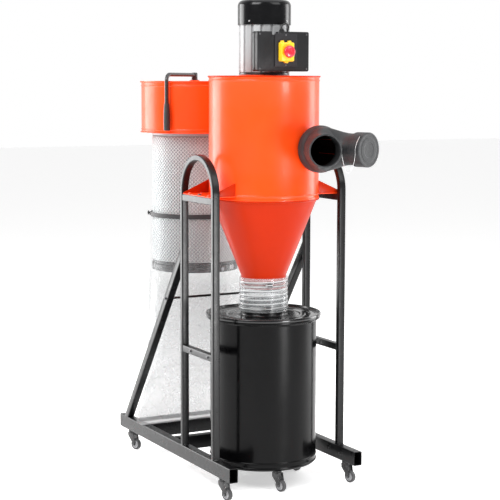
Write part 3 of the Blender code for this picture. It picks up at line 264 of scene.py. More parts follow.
class Shape:
    """Collects closed shells, each with a material, into one object."""

    def __init__(self):
        self.verts, self.faces, self.index, self.looks = [], [], [], []

    def look(self, material):
        if material not in self.looks:
            self.looks.append(material)
        return self.looks.index(material)

    def add(self, verts, faces, material, place=None):
        base, slot = len(self.verts), self.look(material)
        verts = [Vector(v) for v in verts]
        if place is not None:
            verts = [place @ v for v in verts]
        self.verts += verts
        self.faces += [tuple(base + i for i in f) for f in faces]
        self.index += [slot] * len(faces)
        return self

    def lathe(self, profile, material, steps=96, at=(0, 0, 0), place=None, wobble=None):
        """Profile of (radius, height) turned about Z. Closed unless both its ends are on the axis."""
        verts, rings = [], []
        for r, z in profile:
            if r < 1e-7:
                rings.append([len(verts)])
                verts.append((0.0, 0.0, z))
                continue
            ring = []
            for j in range(steps):
                t = 2 * PI * j / steps
                k = r if wobble is None else wobble(r, z, t)
                ring.append(len(verts))
                verts.append((k * math.cos(t), k * math.sin(t), z))
            rings.append(ring)
        open_ends = len(rings[0]) == 1 and len(rings[-1]) == 1
        faces = []
        count = len(rings)
        for i in range(count - 1 if open_ends else count):
            a, b = rings[i], rings[(i + 1) % count]
            for j in range(steps):
                k = (j + 1) % steps
                if len(a) == 1 and len(b) == 1:
                    continue
                if len(a) == 1:
                    faces.append((a[0], b[k], b[j]))
                elif len(b) == 1:
                    faces.append((a[j], a[k], b[0]))
                else:
                    faces.append((a[j], a[k], b[k], b[j]))
        move = Matrix.Translation(at) if place is None else place
        return self.add(verts, faces, material, move)

    def rings(self, rings, material, loop=False, caps=True, place=None):
        """Rings of equal count bridged in order."""
        n = len(rings[0])
        verts = [p for ring in rings for p in ring]
        faces = []
        for i in range(len(rings) if loop else len(rings) - 1):
            k = (i + 1) % len(rings)
            for j in range(n):
                m = (j + 1) % n
                faces.append((i * n + j, i * n + m, k * n + m, k * n + j))
        if caps and not loop:
            faces.append(tuple(range(n))[::-1])
            faces.append(tuple((len(rings) - 1) * n + j for j in range(n)))
        return self.add(verts, faces, material, place)

    def box(self, low, high, material, bevel=0.001, segments=2, place=None):
        bm = bmesh.new()
        bmesh.ops.create_cube(bm, size=1.0)
        low, high = Vector(low), Vector(high)
        for v in bm.verts:
            v.co = Vector(((v.co[i] + 0.5) * (high[i] - low[i]) + low[i]) for i in range(3))
        return self.from_bmesh(bm, material, bevel, segments, place)

    def prism(self, outline, vector, material, bevel=0.0, segments=2, place=None):
        """A flat outline of 3-D points extruded along a vector, with bevelled edges."""
        bm = bmesh.new()
        face = bm.faces.new([bm.verts.new(p) for p in outline])
        grown = bmesh.ops.extrude_face_region(bm, geom=[face])
        bmesh.ops.translate(bm, verts=[g for g in grown["geom"] if isinstance(g, bmesh.types.BMVert)], vec=vector)
        bmesh.ops.recalc_face_normals(bm, faces=bm.faces)
        return self.from_bmesh(bm, material, bevel, segments, place)

    def from_bmesh(self, bm, material, bevel=0.0, segments=2, place=None):
        if bevel:
            sharp = [e for e in bm.edges if len(e.link_faces) == 2 and e.calc_face_angle(0.0) > 0.45]
            bmesh.ops.bevel(bm, geom=sharp, offset=bevel, segments=segments, profile=0.5, affect="EDGES", clamp_overlap=True)
        bm.verts.ensure_lookup_table()
        bm.verts.index_update()
        verts = [v.co.copy() for v in bm.verts]
        faces = [tuple(v.index for v in f.verts) for f in bm.faces]
        bm.free()
        return self.add(verts, faces, material, place)

    def hex_bolt(self, at, direction, size, height, material, washer=True, turn=0.0):
        """Hexagon head with a washer, standing on a face at a point, pointing outwards."""
        place = Matrix.Translation(at) @ Vector(direction).to_track_quat("Z", "Y").to_matrix().to_4x4()
        base = 0.0
        if washer:
            self.lathe(fillet([(0, 0), (size * 1.45, 0, 0), (size * 1.45, height * 0.25, height * 0.1), (0, height * 0.25)], closed=False), material, 24, place=place)
            base = height * 0.24
        outline = [Vector((size * math.cos(turn + k * PI / 3), size * math.sin(turn + k * PI / 3), base)) for k in range(6)]
        return self.prism(outline, Vector((0, 0, height - base)), material, bevel=size * 0.14, segments=2, place=place)

    def make(self, name, body="frame", slot=None, replaces=(), sharp=38.0, weld=True):
        mesh = bpy.data.meshes.new(name)
        mesh.from_pydata([tuple(v) for v in self.verts], [], self.faces)
        for material in self.looks:
            mesh.materials.append(material)
        mesh.polygons.foreach_set("material_index", self.index)
        bm = bmesh.new()
        bm.from_mesh(mesh)
        if weld:
            bmesh.ops.remove_doubles(bm, verts=bm.verts, dist=1e-7)
        bmesh.ops.recalc_face_normals(bm, faces=bm.faces)
        bm.to_mesh(mesh)
        bm.free()
        mesh.shade_smooth()
        mesh.set_sharp_from_angle(angle=math.radians(sharp))
        obj = bpy.data.objects.new(name, mesh)
        SCENE.collection.objects.link(obj)
        if body:
            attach(obj, body)
        if replaces:
            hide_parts(*replaces)
        return obj


def raw(shape, name):
    """A bare object for a Boolean."""
    mesh = bpy.data.meshes.new(name)
    mesh.from_pydata([tuple(v) for v in shape.verts], [], shape.faces)
    for material in shape.looks:
        mesh.materials.append(material)
    bm = bmesh.new()
    bm.from_mesh(mesh)
    bmesh.ops.remove_doubles(bm, verts=bm.verts, dist=1e-7)
    bmesh.ops.recalc_face_normals(bm, faces=bm.faces)
    bm.to_mesh(mesh)
    bm.free()
    obj = bpy.data.objects.new(name, mesh)
    SCENE.collection.objects.link(obj)
    return obj


def boolean(obj, tool, how):
    """Applies an exact Boolean and removes the tool."""
    modifier = obj.modifiers.new("cut", "BOOLEAN")
    modifier.operation, modifier.object, modifier.solver = how, tool, "EXACT"
    apply_modifiers(obj)
    bpy.data.objects.remove(tool, do_unlink=True)
    return obj


def apply_modifiers(obj):
    bpy.context.view_layer.update()
    graph = bpy.context.evaluated_depsgraph_get()
    mesh = bpy.data.meshes.new_from_object(obj.evaluated_get(graph))
    obj.modifiers.clear()
    old = obj.data
    obj.data = mesh
    bpy.data.meshes.remove(old)
    return obj


def settle(obj, material, body, replaces=(), sharp=38.0):
    """Gives a finished bare object its material, shading and body."""
    obj.data.materials.clear()
    obj.data.materials.append(material)
    obj.data.polygons.foreach_set("material_index", [0] * len(obj.data.polygons))
    obj.data.shade_smooth()
    obj.data.set_sharp_from_angle(angle=math.radians(sharp))
    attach(obj, body)
    if replaces:
        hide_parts(*replaces)
    return obj


def rounded_rect(w, h, r, n=4):
    return fillet([(w / 2, h / 2, r), (-w / 2, h / 2, r), (-w / 2, -h / 2, r), (w / 2, -h / 2, r)], n=n)


def frames_along(path, first):
    """Moving axes along a path: each normal is carried on from the last with no twist."""
    out, normal = [], Vector(first)
    for i, p in enumerate(path):
        tangent = (path[min(i + 1, len(path) - 1)] - path[max(i - 1, 0)]).normalized()
        normal = (normal - tangent * normal.dot(tangent)).normalized()
        out.append((p, normal.copy(), tangent.cross(normal)))
    return out


def swept(path, section, first):
    return [[p + n * u + b * v for u, v in section] for p, n, b in frames_along([Vector(p) for p in path], first)]


def disc(radius, sides):
    return [(radius * math.cos(2 * PI * j / sides), radius * math.sin(2 * PI * j / sides)) for j in range(sides)]


def smooth_path(points, spacing):
    """Points along a Catmull-Rom curve through the given ones."""
    points = [Vector(p) for p in points]
    ends = [2 * points[0] - points[1]] + points + [2 * points[-1] - points[-2]]
    out = [points[0]]
    for a, b, c, d in zip(ends, ends[1:], ends[2:], ends[3:]):
        steps = max(1, round((c - b).length / spacing))
        for i in range(1, steps + 1):
            t = i / steps
            out.append(0.5 * (2 * b + t * (c - a) + t * t * (2 * a - 5 * b + 4 * c - d) + t * t * t * (3 * b - a - 3 * c + d)))
    return out


def rows(profile, pitch):
    """Extra points along the long straight runs of a profile."""
    out = []
    for (r0, z0), (r1, z1) in zip(profile, profile[1:] + profile[:1]):
        out.append((r0, z0))
        steps = int(math.hypot(r1 - r0, z1 - z0) / pitch)
        for i in range(1, steps):
            out.append((r0 + (r1 - r0) * i / steps, z0 + (z1 - z0) * i / steps))
    return out


def bead(r, z, height, half, n=8):
    """A rounded bead on a wall that runs upwards."""
    return [(r + height * 0.5 * (1 - math.cos(2 * PI * i / n)), z - half + 2 * half * i / n) for i in range(n + 1)]


def D(x, y, z):
    """A point from part.py: y from the cyclone's axis, z from part.py's datum."""
    return Vector((x, AY + y, z + 0.012))


# ------------------------------------------------------------------ camera
def set_camera():
    """The photograph's own viewpoint, solved from its edges."""
    a, p, r = 0.4877, 0.1150, 0.0022
    d = Vector((math.sin(a) * math.cos(p), math.cos(a) * math.cos(p), -math.sin(p)))
    right = Vector((math.cos(a), -math.sin(a), 0.0))
    up = right.cross(d)
    x = math.cos(r) * right + math.sin(r) * up
    y = -math.sin(r) * right + math.cos(r) * up
    data = bpy.data.cameras.new("photo_camera")
    data.sensor_fit, data.sensor_width, data.lens = "HORIZONTAL", 36.0, 104.02
    data.clip_end = 60.0
    camera = bpy.data.objects.new("photo_camera", data)
    SCENE.collection.objects.link(camera)
    rows = [[x[i], y[i], -d[i], (-2.8250, -5.4347, 1.6493)[i]] for i in range(3)] + [[0, 0, 0, 1]]
    camera.matrix_world = Matrix(rows)
    SCENE.camera = camera


set_camera()

# ------------------------------------------------------------------ tether
A_DIR = Vector((math.sin(math.radians(-16)), -math.cos(math.radians(-16)), 0))
B_DIR = Vector((math.sin(math.radians(21)), -math.cos(math.radians(21)), 0))
A_END = D(0.0430, -0.420, 1.3780)
B_CAP = D(0.2467, -0.410, 1.3775)
B_END = B_CAP - 0.006 * B_DIR
INLET = D(0.124, 0.0, 1.3765)
A_SIDE = Vector((-A_DIR.y, A_DIR.x, 0))
CAP_SIDE = Vector((B_DIR.y, -B_DIR.x, 0))
eye_at = A_END - 0.020 * A_DIR
EAR = math.radians(40.0)


def round_cap(degrees, radius, along):
    t = math.radians(degrees)
    return B_CAP + along * B_DIR + radius * (math.cos(t) * Vector((0, 0, 1)) + math.sin(t) * CAP_SIDE)


tether_start = eye_at + 0.0690 * A_SIDE
tether_start.z = 1.3800 - 0.0003 + 0.012
tether_end = round_cap(40.0, 0.0735, -0.008) + 0.0033 * (math.cos(EAR) * CAP_SIDE - math.sin(EAR) * Vector((0, 0, 1)))
tether_route = [tether_start] + [
    tether_start + Vector(step)
    for step in (
        (0.0, 0.0, -0.008),
        (0.0020, -0.0008, -0.026),
        (0.0085, -0.0024, -0.054),
        (0.0175, -0.0044, -0.078),
        (0.0270, -0.0062, -0.0868),
        (0.0385, -0.0080, -0.0775),
        (0.0500, -0.0100, -0.0510),
    )
] + [round_cap(103.0, 0.0830, -0.0080), round_cap(84.0, 0.0790, -0.0080), round_cap(66.0, 0.0760, -0.0080), round_cap(50.0, 0.0740, -0.0080), tether_end]
tether_shape = Shape()
fine_path = smooth_path(tether_route, 0.002)
tether_shape.rings(swept(fine_path, disc(0.0011, 12), (0, 1, 0)), M["tether"])
tether = tether_shape.make("tether_wire", body=None, slot="tether_wire", replaces=["cap_tether"], sharp=50)
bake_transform(tether)

# ------------------------------------------------------------------ frame
def tube(shape, a, b, u, w, v, h, corner, wall, material):
    """A rectangular tube with rounded corners and open ends from a to b."""
    a, b, u, v = Vector(a), Vector(b), Vector(u), Vector(v)
    rings = []
    for k, inset in ((0, 0.0), (1, wall)):
        section = rounded_rect(w - 2 * inset, h - 2 * inset, max(0.0008, corner - inset), 5)
        ends = (a, b) if k == 0 else (b, a)
        rings += [[e + p * u + q * v for p, q in section] for e in ends]
    return shape.rings(rings, material, loop=True)


X, Y, Z = Vector((1, 0, 0)), Vector((0, 1, 0)), Vector((0, 0, 1))
for side, name in ((-1, "left"), (1, "right")):
    s = Shape()
    tube(s, (side * 0.287, AY - 0.289, 0.116), (side * 0.287, AY + 0.809, 0.116), X, 0.038, Z, 0.058, 0.0042, 0.002, M["black"])
    for y in (-0.4892, 0.500) if side > 0 else (0.500,):
        s.lathe(fillet([(0, 0), (0.0045, 0, 0), (0.0045, 0.0006, 0.0003), (0.0022, 0.0007), (0.0020, 0.0002), (0, 0.0002)], closed=False), M["dark"], 20, at=(side * 0.287, y, 0.145))
    s.make(f"rail_{name}", slot="black_frame_paint", replaces=[f"base_rail_{name}"])
    # Hoop.
    s = Shape()
    cx, arch_y, mid = side * 0.2905, AY + 0.0066, 0.1425
    path = [Vector((cx, arch_y - mid, 0.1453))]
    path += [Vector((cx, arch_y - mid, 0.1453 + (1.21 - 0.1453) * k / 12)) for k in range(1, 12)]
    path += [Vector((cx, arch_y - mid * math.cos(PI * k / 48), 1.21 + mid * math.sin(PI * k / 48))) for k in range(49)]
    path += [Vector((cx, arch_y + mid, 0.1453 + (1.21 - 0.1453) * k / 12)) for k in range(11, -1, -1)]
    section = rounded_rect(0.031, 0.023, 0.0048, 5)
    rings = []
    for i, p in enumerate(path):
        t = (path[min(i + 1, len(path) - 1)] - path[max(i - 1, 0)]).normalized()
        n = X.cross(t)
        rings.append([p + u * X + v * n for u, v in section])
    s.rings(rings, M["black"])
    # Weld beads at the feet of the legs.
    for y in (arch_y - mid, arch_y + mid):
        foot = rounded_rect(0.0335, 0.0255, 0.006, 5)
        s.rings([[Vector((cx + u * k, y + v * k, zz)) for u, v in foot] for k, zz in ((1.0, 0.1452), (1.0, 0.1466), (0.95, 0.1482), (0.90, 0.1484))], M["black"])
    if side > 0:
        s.lathe([(0, 0), (0.0042, 0), (0.0042, 0.0003), (0, 0.0003)], M["rubber"], 20, place=Matrix.Translation((0.2749, arch_y + mid, 0.781)) @ Matrix.Rotation(-PI / 2, 4, "Y"))
    s.make(f"hoop_{name}", slot="black_frame_paint", replaces=[f"upright_{name}"])
    # Rungs and brace.
    for level, zz in (("upper", 1.184), ("lower", 0.557)):
        s = Shape()
        y0, y1 = arch_y - 0.154 + 0.0232, arch_y + 0.154 - 0.0232
        tube(s, (side * 0.2905, y0, zz), (side * 0.2905, y1, zz), X, 0.028, Z, 0.028, 0.0035, 0.002, M["black"])
        if level == "lower":
            for y in (arch_y - 0.100, arch_y + 0.058):
                s.hex_bolt((side * 0.3045, y, zz), (side, 0, 0), 0.0052, 0.0050, M["bolt"], turn=0.3)
        s.make(f"rung_{level}_{name}", slot="black_frame_paint", replaces=[f"{level}_rung_{name}"])
    s = Shape()
    slope = math.tan(math.radians(54.0))
    leg_back, top = arch_y + 0.1543, 0.969
    tall = 0.032 / math.cos(math.radians(54.0))
    r0, r1 = [], []
    for u, v in rounded_rect(0.031, tall, 0.0042, 5):
        line = top - tall / 2 + v
        r0.append(Vector((cx + u, leg_back + (line - 0.1453) / slope, 0.1453)))
        r1.append(Vector((cx + u, leg_back, line)))
    s.rings([r0, r1], M["black"])
    s.make(f"strut_{name}", slot="black_frame_paint", replaces=[f"brace_{name}"])

for name, y in (("mid", 0.287), ("rear", 0.554)):
    s = Shape()
    tube(s, (-0.2677, AY + y, 0.116), (0.2677, AY + y, 0.116), Y, 0.038, Z, 0.058, 0.0042, 0.002, M["black"])
    s.make(f"crossbar_{name}", slot="black_frame_paint", replaces=[f"cross_member_{name}"])
s = Shape()
place = Matrix.Translation((0, AY + 0.305, 0.7436)) @ Matrix.Rotation(PI / 2, 4, "Y")
s.lathe(fillet([(0, -0.2747), (0.005, -0.2747, 0.0004), (0.005, 0.2747, 0.0004), (0, 0.2747)], closed=False), M["black"], 32, place=place)
for side in (-1, 1):
    s.lathe(fillet([(0, -0.0012), (0.0095, -0.0012, 0.0004), (0.0095, 0.0012, 0.0004), (0, 0.0012)], closed=False), M["bolt"], 28, place=Matrix.Translation((side * 0.2733, AY + 0.305, 0.7436)) @ Matrix.Rotation(PI / 2, 4, "Y"))
    s.hex_bolt((side * 0.2722, AY + 0.305, 0.7436), (-side, 0, 0), 0.0075, 0.0062, M["bolt"], washer=False)
s.make("tie_bar", slot="black_frame_paint", replaces=["tie_rod"])
s = Shape()
for side in (-1, 1):
    s.hex_bolt((side * 0.306, AY + 0.305, 0.7436), (side, 0, 0), 0.0062, 0.0055, M["bolt"], turn=0.2)
s.make("tie_bar_bolts", slot="black_frame_paint")

# ------------------------------------------------------------------ drum and lid
profile = fillet(
    [
        (0, 0.0890), (0.196, 0.0890), (0.200, 0.0862, 0.002), (0.2155, 0.0862, 0.003), (0.2232, 0.0935, 0.003), (0.2225, 0.0985, 0.002),
        (0.2205, 0.1005, 0.002), (0.2205, 0.1130, 0.003), (0.2226, 0.1150, 0.002), (0.2226, 0.1185, 0.002), (0.2205, 0.1205, 0.003),
        (0.2205, 0.3000), (0.2205, 0.4900),
        (0.2205, 0.6800, 0.004), (0.2245, 0.6855, 0.003), (0.2335, 0.6872, 0.002), (0.2353, 0.6895, 0.002), (0.2353, 0.6965, 0.0015),
        (0.2190, 0.6965, 0.001), (0.2190, 0.0905), (0, 0.0905),
    ],
    n=5,
    closed=False,
)
Shape().lathe(profile, M["drum"], 160, at=(0, AY, 0)).make("drum_shell", "drum", "black_drum_paint", ["drum_body"], sharp=45)
L = 0.697
profile = fillet(
    [
        (0.2378, L + 0.0002, 0.001), (0.2380, L + 0.0060, 0.004), (0.2372, 0.7100, 0.004), (0.2315, 0.7094, 0.003), (0.2270, L + 0.0040, 0.003),
        (0.2180, L + 0.0032, 0.004), (0.2090, L + 0.0048, 0.005), (0.1950, L + 0.0052, 0.004), (0.1890, L + 0.0030, 0.004),
        (0.1760, L + 0.0026, 0.005), (0.1700, L + 0.0044, 0.004), (0.1560, L + 0.0046, 0.005), (0.1480, L + 0.0024, 0.004), (0.1100, L + 0.0022, 0.003),
        (0.0990, L + 0.0030, 0.003), (0.0945, L + 0.0080, 0.003), (0.0945, 0.7535, 0.0008), (0.0922, 0.7535, 0.0008), (0.0922, L + 0.0004), (0.2370, L + 0.0002),
    ],
    n=5,
)
Shape().lathe(profile, M["lid"], 160, at=(0, AY, 0)).make("lid_shell", "lid", "black_drum_paint", ["drum_lid"], sharp=45)

# ------------------------------------------------------------------ cyclone
wall_in = 0.2235
profile = fillet([(0.2274, 1.1838, 0.0012), (0.2276, 1.1862, 0.001), (0.2274, 1.1896, 0.0012), (0.2252, 1.1914, 0.001), (0.2250, 1.1975, 0.002)], n=4, closed=False)
profile = profile[:-1] + bead(0.2250, 1.2033, 0.0020, 0.0042) + [(0.2250, 1.30), (0.2250, 1.42), (0.2250, 1.54)] + bead(0.2250, 1.6600, 0.0022, 0.0045)
profile += fillet([(0.2250, 1.6680), (0.2256, 1.6715, 0.002), (0.2298, 1.6745, 0.001), (0.2300, 1.6790, 0.0008), (0.2262, 1.6790, 0.0008), (0.2235, 1.6770)], n=4, closed=False)
profile += [(0.2235, 1.54), (0.2235, 1.42), (0.2235, 1.30), (0.2235, 1.1838)]
barrel = raw(Shape().lathe(profile, M["orange"], 192, at=(0, AY, 0)), "barrel_shell")


def pipe_y(x, z, radius, y0, y1, steps=96):
    return raw(Shape().lathe([(0, y0), (radius, y0), (radius, y1), (0, y1)], M["orange"], steps, place=Matrix.Translation((x, 0, z)) @ Matrix.Rotation(-PI / 2, 4, "X")), "pipe")


stub = pipe_y(0.124, 1.3885, 0.0760, AY - 0.255, AY - 0.08)
boolean(stub, raw(Shape().lathe([(0, 1.1), (0.2240, 1.1), (0.2240, 1.7), (0, 1.7)], M["orange"], 192, at=(0, AY, 0)), "bore"), "DIFFERENCE")
boolean(barrel, stub, "UNION")
boolean(barrel, pipe_y(0.124, 1.3885, 0.0745, AY - 0.27, AY - 0.07), "DIFFERENCE")
boolean(barrel, raw(Shape().box((0.032, AY + 0.05, 1.487), (0.198, AY + 0.30, 1.627), M["orange"], bevel=0), "window"), "DIFFERENCE")
settle(barrel, M["orange"], "frame", ["cyclone_barrel"], sharp=30)
barrel.data.materials.append(M["inner"])
barrel.data.materials.append(M["painted_shade_orange"])
# Faces inside the barrel and its inlet bore take a dark brown, which is painted shade inside them. Faces of the top lip
# take the darker orange, which is painted shade along the rim.
for face in barrel.data.polygons:
    c, n = face.center, face.normal
    radial = Vector((c.x, c.y - AY, 0))
    bore = Vector((c.x - 0.124, 0, c.z - 1.3885))
    if (radial.length < 0.2245 and n.dot(radial.normalized()) < -0.3) or (bore.length < 0.0752 and c.y < AY and n.dot(bore.normalized()) < -0.3):
        face.material_index = 1
    elif c.z > 1.6738:
        face.material_index = 2

profile = fillet(
    [
        (0.2274, 1.1835, 0.0012), (0.2277, 1.1805, 0.001), (0.2274, 1.1776, 0.0012), (0.2200, 1.1762, 0.002), (0.2168, 1.1745, 0.003),
        (0.0925, 0.8620, 0.016), (0.0925, 0.8405, 0.001), (0.0938, 0.8398, 0.0006), (0.0938, 0.8362, 0.0006), (0.0925, 0.8355, 0.001), (0.0925, 0.8122, 0.0006),
        (0.0910, 0.8122, 0.0005), (0.0910, 0.8622, 0.016), (0.2148, 1.1768, 0.002), (0.2148, 1.1835, 0.0005),
    ],
    n=6,
)
# The whole cone takes the darker orange: painted shade, since the cone is lit less than the barrel.
Shape().lathe(rows(profile, 0.03), M["painted_shade_orange"], 192, at=(0, AY, 0)).make("cone_shell", "frame", "orange_paint", ["cyclone_cone"], sharp=30)
profile = fillet([(0.016, 1.675), (0.016, 1.682, 0.001), (0.1025, 1.682, 0.001), (0.1060, 1.678, 0.002), (0.1500, 1.6780), (0.1560, 1.6792, 0.002), (0.1640, 1.6792, 0.002), (0.1700, 1.6780), (0.2228, 1.6780, 0.0005), (0.2228, 1.6752, 0.0005)], n=4)
s = Shape().lathe(profile, M["orange"], 160, at=(0, AY, 0))
s.make("deck_plate", "frame", "orange_paint", ["top_deck"], sharp=35)

# Brackets that carry the barrel.
for side, name in ((-1, "left"), (1, "right")):
    s = Shape()
    zb = 1.1983
    arc = []
    for k in range(25):
        y = -0.127 + 0.254 * k / 24 + 0.0066
        arc.append((math.sqrt(0.2258**2 - y * y), y))
    outline = [Vector((side * 0.303, AY + 0.0066 - 0.127, zb)), Vector((side * 0.303, AY + 0.0066 + 0.127, zb))] + [Vector((side * x, AY + y, zb)) for x, y in arc[::-1]]
    s.prism(outline, Vector((0, 0, 0.003)), M["orange"], bevel=0.0007)
    for y in (0.0066 - 0.125, 0.0066 + 0.122):
        def reach(yy):
            return math.sqrt(0.2257**2 - yy * yy)
        root = reach(y if y < 0 else y + 0.003)
        line = fillet([(0.3028, zb + 0.001), (root, zb + 0.001), (root, zb + 0.006 + 0.4523 * (0.303 - root), 0.002), (0.3028, zb + 0.007, 0.003)], n=3)
        # The gussets take the darker orange: painted shade on their faces.
        s.prism([Vector((side * x, AY + y, zz)) for x, zz in line], Vector((0, 0.003, 0)), M["painted_shade_orange"], bevel=0.0006)
    for y in (-0.085, -0.0, 0.085):
        s.hex_bolt((side * 0.2900, AY + 0.0066 + y, zb + 0.003), (0, 0, 1), 0.0066, 0.0052, M["orange_bolt" if y else "bolt"], turn=0.4 + y)
    for y in (-0.040, 0.055):
        s.hex_bolt((side * 0.2560, AY + 0.0066 + y, zb + 0.003), (0, 0, 1), 0.0060, 0.0050, M["orange_bolt"], turn=0.2 - y)
    s.make(f"carrier_{name}", "frame", "orange_paint", [f"bracket_{name}"], sharp=30)

# ------------------------------------------------------------------ hose
HZ0, HZ1 = 0.717, 0.8575
turns, per = 8.0, 96
pitch = 0.0180
profile = []
n = 140
for k in range(n + 1):
    zz = HZ0 + (HZ1 - HZ0) * k / n
    profile.append(zz)


def hose_radius(zz, t):
    # A soft wall that bulges out over each turn of the helix and is nipped in under the clamps.
    wave = 0.0010 * math.cos(2 * PI * ((zz - HZ0) / pitch) - t)
    nip = 0.0
    for clamp in (0.832, 0.734):
        nip += math.exp(-(((zz - clamp) / 0.0072) ** 2))
    nip = min(1.0, nip)
    return 0.1002 + wave * (1 - nip) - 0.0004 * nip


steps = 144
outer = [[Vector((hose_radius(zz, 2 * PI * j / steps) * math.cos(2 * PI * j / steps), AY + hose_radius(zz, 2 * PI * j / steps) * math.sin(2 * PI * j / steps), zz)) for j in range(steps)] for zz in profile]
s = Shape().rings(outer + [[Vector((0.0985 * math.cos(2 * PI * j / steps), AY + 0.0985 * math.sin(2 * PI * j / steps), zz)) for j in range(steps)] for zz in (HZ1, HZ0)], M["hose"], loop=True)
hose = s.make("hose_wall", body=None, slot="clear_hose", replaces=["flex_hose"], sharp=60)
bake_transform(hose)
# The ridge coil is pale, painted highlight on each ridge; the helix wire is dark.
for label, key, radius, thick, shift in (("ridge", "hose_ridge", 0.0988, 0.0027, 0.0), ("helix", "hose_wire", 0.1002, 0.0009, -0.0042)):
    path = []
    low = HZ0 + 0.0045
    count = int((HZ1 - HZ0 - 0.009) / pitch * per)
    for k in range(count + 1):
        t = 2 * PI * k / per
        zz = low + pitch * k / per + shift
        if zz > HZ0 + 0.0012:
            path.append(Vector((radius * math.cos(t), AY + radius * math.sin(t), zz)))
    s = Shape().rings(swept(path, disc(thick, 10), (0, 0, 1)), M[key])
    coil = s.make(f"hose_{label}", body=None, slot="clear_hose", sharp=60)
    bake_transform(coil)


def clamp(name, zz, heading, node, body):
    s = Shape()
    for dz in (-0.0046, 0.0046):
        s.lathe([(0.1024 + 0.0008 * math.cos(k * PI / 4), zz + dz + 0.0008 * math.sin(k * PI / 4)) for k in range(8)], M["bright"], 144, at=(0, AY, 0))
    a = math.radians(heading)
    r = 0.1022
    place = Matrix.Translation((r * math.sin(a), AY - r * math.cos(a), zz)) @ Matrix.Rotation(a, 4, "Z")
    s.box((-0.0108, -0.0085, -0.0072), (0.0108, 0.0008, 0.0072), M["clamp_box"], 0.0018, 3, place)
    s.box((-0.0125, -0.0022, -0.0064), (0.0125, 0.0004, 0.0064), M["bright"], 0.0006, 2, place)
    turn = place @ Matrix.Translation((0, -0.0052, 0)) @ Matrix.Rotation(PI / 2, 4, "Y")
    s.lathe(fillet([(0, -0.0178), (0.0040, -0.0178, 0.0005), (0.0040, 0.0100, 0.0006), (0, 0.0100)], closed=False), M["bright"], 20, place=turn)
    s.box((-0.0006, -0.0040, -0.0004), (0.0006, 0.0040, 0.0006), M["dark"], 0, 1, turn @ Matrix.Translation((0, 0, -0.0180)))
    return s.make(name, body, "clamp_steel", [node], sharp=35)


clamp("clamp_upper", 0.832, -14.0, "hose_clamp_upper", "frame")
clamp("clamp_lower", 0.734, -17.0, "hose_clamp_lower", "lid")

# ------------------------------------------------------------------ inlet wye
HUB_BACK = -0.2262


def circle(centre, normal, radius, count, up=(0, 0, 1)):
    n = Vector(normal).normalized()
    u = Vector(up).cross(n).normalized()
    v = n.cross(u)
    return [Vector(centre) + radius * (math.cos(t) * u + math.sin(t) * v) for t in (2 * PI * i / count for i in range(count))]


def arm(end, direction, wall, extra, skew, count=72):
    """One arm of the wye: from the hub it blends into a straight round port."""
    hub = [D(0.124, HUB_BACK - 0.008 - skew, 1.3765), D(0.124, HUB_BACK - 0.036 - skew, 1.3765)]
    straight = [end - 0.100 * direction, end - 0.080 * direction, end + extra * direction]
    stations = [(hub[0], Vector((0, -1, 0)), 0.0905 - skew - wall), (hub[1], Vector((0, -1, 0)), 0.0890 - skew - wall)]
    a, b = hub[1], straight[1]
    for k in range(1, 12):
        t = k / 12
        ease = t * t * (3 - 2 * t)
        span = (b - a).length
        c1, c2 = a + Vector((0, -1, 0)) * span * 0.38, b - direction * span * 0.38
        p = (1 - t) ** 3 * a + 3 * (1 - t) ** 2 * t * c1 + 3 * (1 - t) * t * t * c2 + t**3 * b
        n = Vector((0, -1, 0)).lerp(direction, ease).normalized()
        stations.append((p, n, (0.0890 - skew - wall) * (1 - ease) + (0.0632 - wall) * ease))
    stations += [(straight[1], direction, 0.0632 - wall), (straight[2], direction, 0.0632 - wall)]
    return raw(Shape().rings([circle(p, n, r, count) for p, n, r in stations], M["plastic"]), "arm")


hub = raw(
    Shape().lathe([(0, 0.0004), (0.0935, 0.0004), (0.0945, 0.0014), (0.0945, 0.0245), (0.0938, 0.0262), (0.0905, 0.0375), (0, 0.0375)], M["plastic"], 144, place=Matrix.Translation(D(0.124, HUB_BACK, 1.3765)) @ Matrix.Rotation(PI / 2, 4, "X")),
    "wye_shell",
)
boolean(hub, arm(A_END, A_DIR, 0.0, -0.004, 0.0), "UNION")
boolean(hub, arm(B_END, B_DIR, 0.0, -0.001, 0.0006), "UNION")
remesh = hub.modifiers.new("skin", "REMESH")
remesh.mode, remesh.voxel_size = "VOXEL", 0.0021
soften = hub.modifiers.new("soften", "CORRECTIVE_SMOOTH")
soften.iterations, soften.factor = 6, 0.5
soften.use_only_smooth = True
apply_modifiers(hub)
for v in hub.data.vertices:  # the back stays flat
    limit = AY + HUB_BACK - 0.0003
    if v.co.y > limit - 0.0008:
        v.co.y = limit
lip = Shape().rings([circle(A_END + u * A_DIR, A_DIR, r, 96) for u, r in ((-0.0085, 0.0622), (-0.0085, 0.0632), (-0.0068, 0.0654), (-0.0010, 0.0660), (0.0002, 0.0654), (0.0004, 0.0640))], M["plastic"])
boolean(hub, raw(lip, "lip"), "UNION")
eye = Shape().prism([eye_at + u * A_SIDE + w * A_DIR + Vector((0, 0, 1.3920 - eye_at.z)) for u, w in ((0.0600, -0.0042), (0.0600, 0.0042), (0.0718, 0.0042), (0.0718, -0.0042))], Vector((0, 0, 0.007)), M["plastic"], bevel=0.0014, segments=3)
boolean(hub, raw(eye, "eye"), "UNION")
boolean(hub, raw(Shape().rings([circle(D(0.124, HUB_BACK + b, 1.3765), (0, -1, 0), 0.0903, 96) for b in (0.01, -0.0335)], M["plastic"]), "hub_bore"), "DIFFERENCE")
boolean(hub, arm(A_END, A_DIR, 0.003, 0.01, 0.0001), "DIFFERENCE")
boolean(hub, arm(B_END, B_DIR, 0.003, 0.01, 0.0008), "DIFFERENCE")
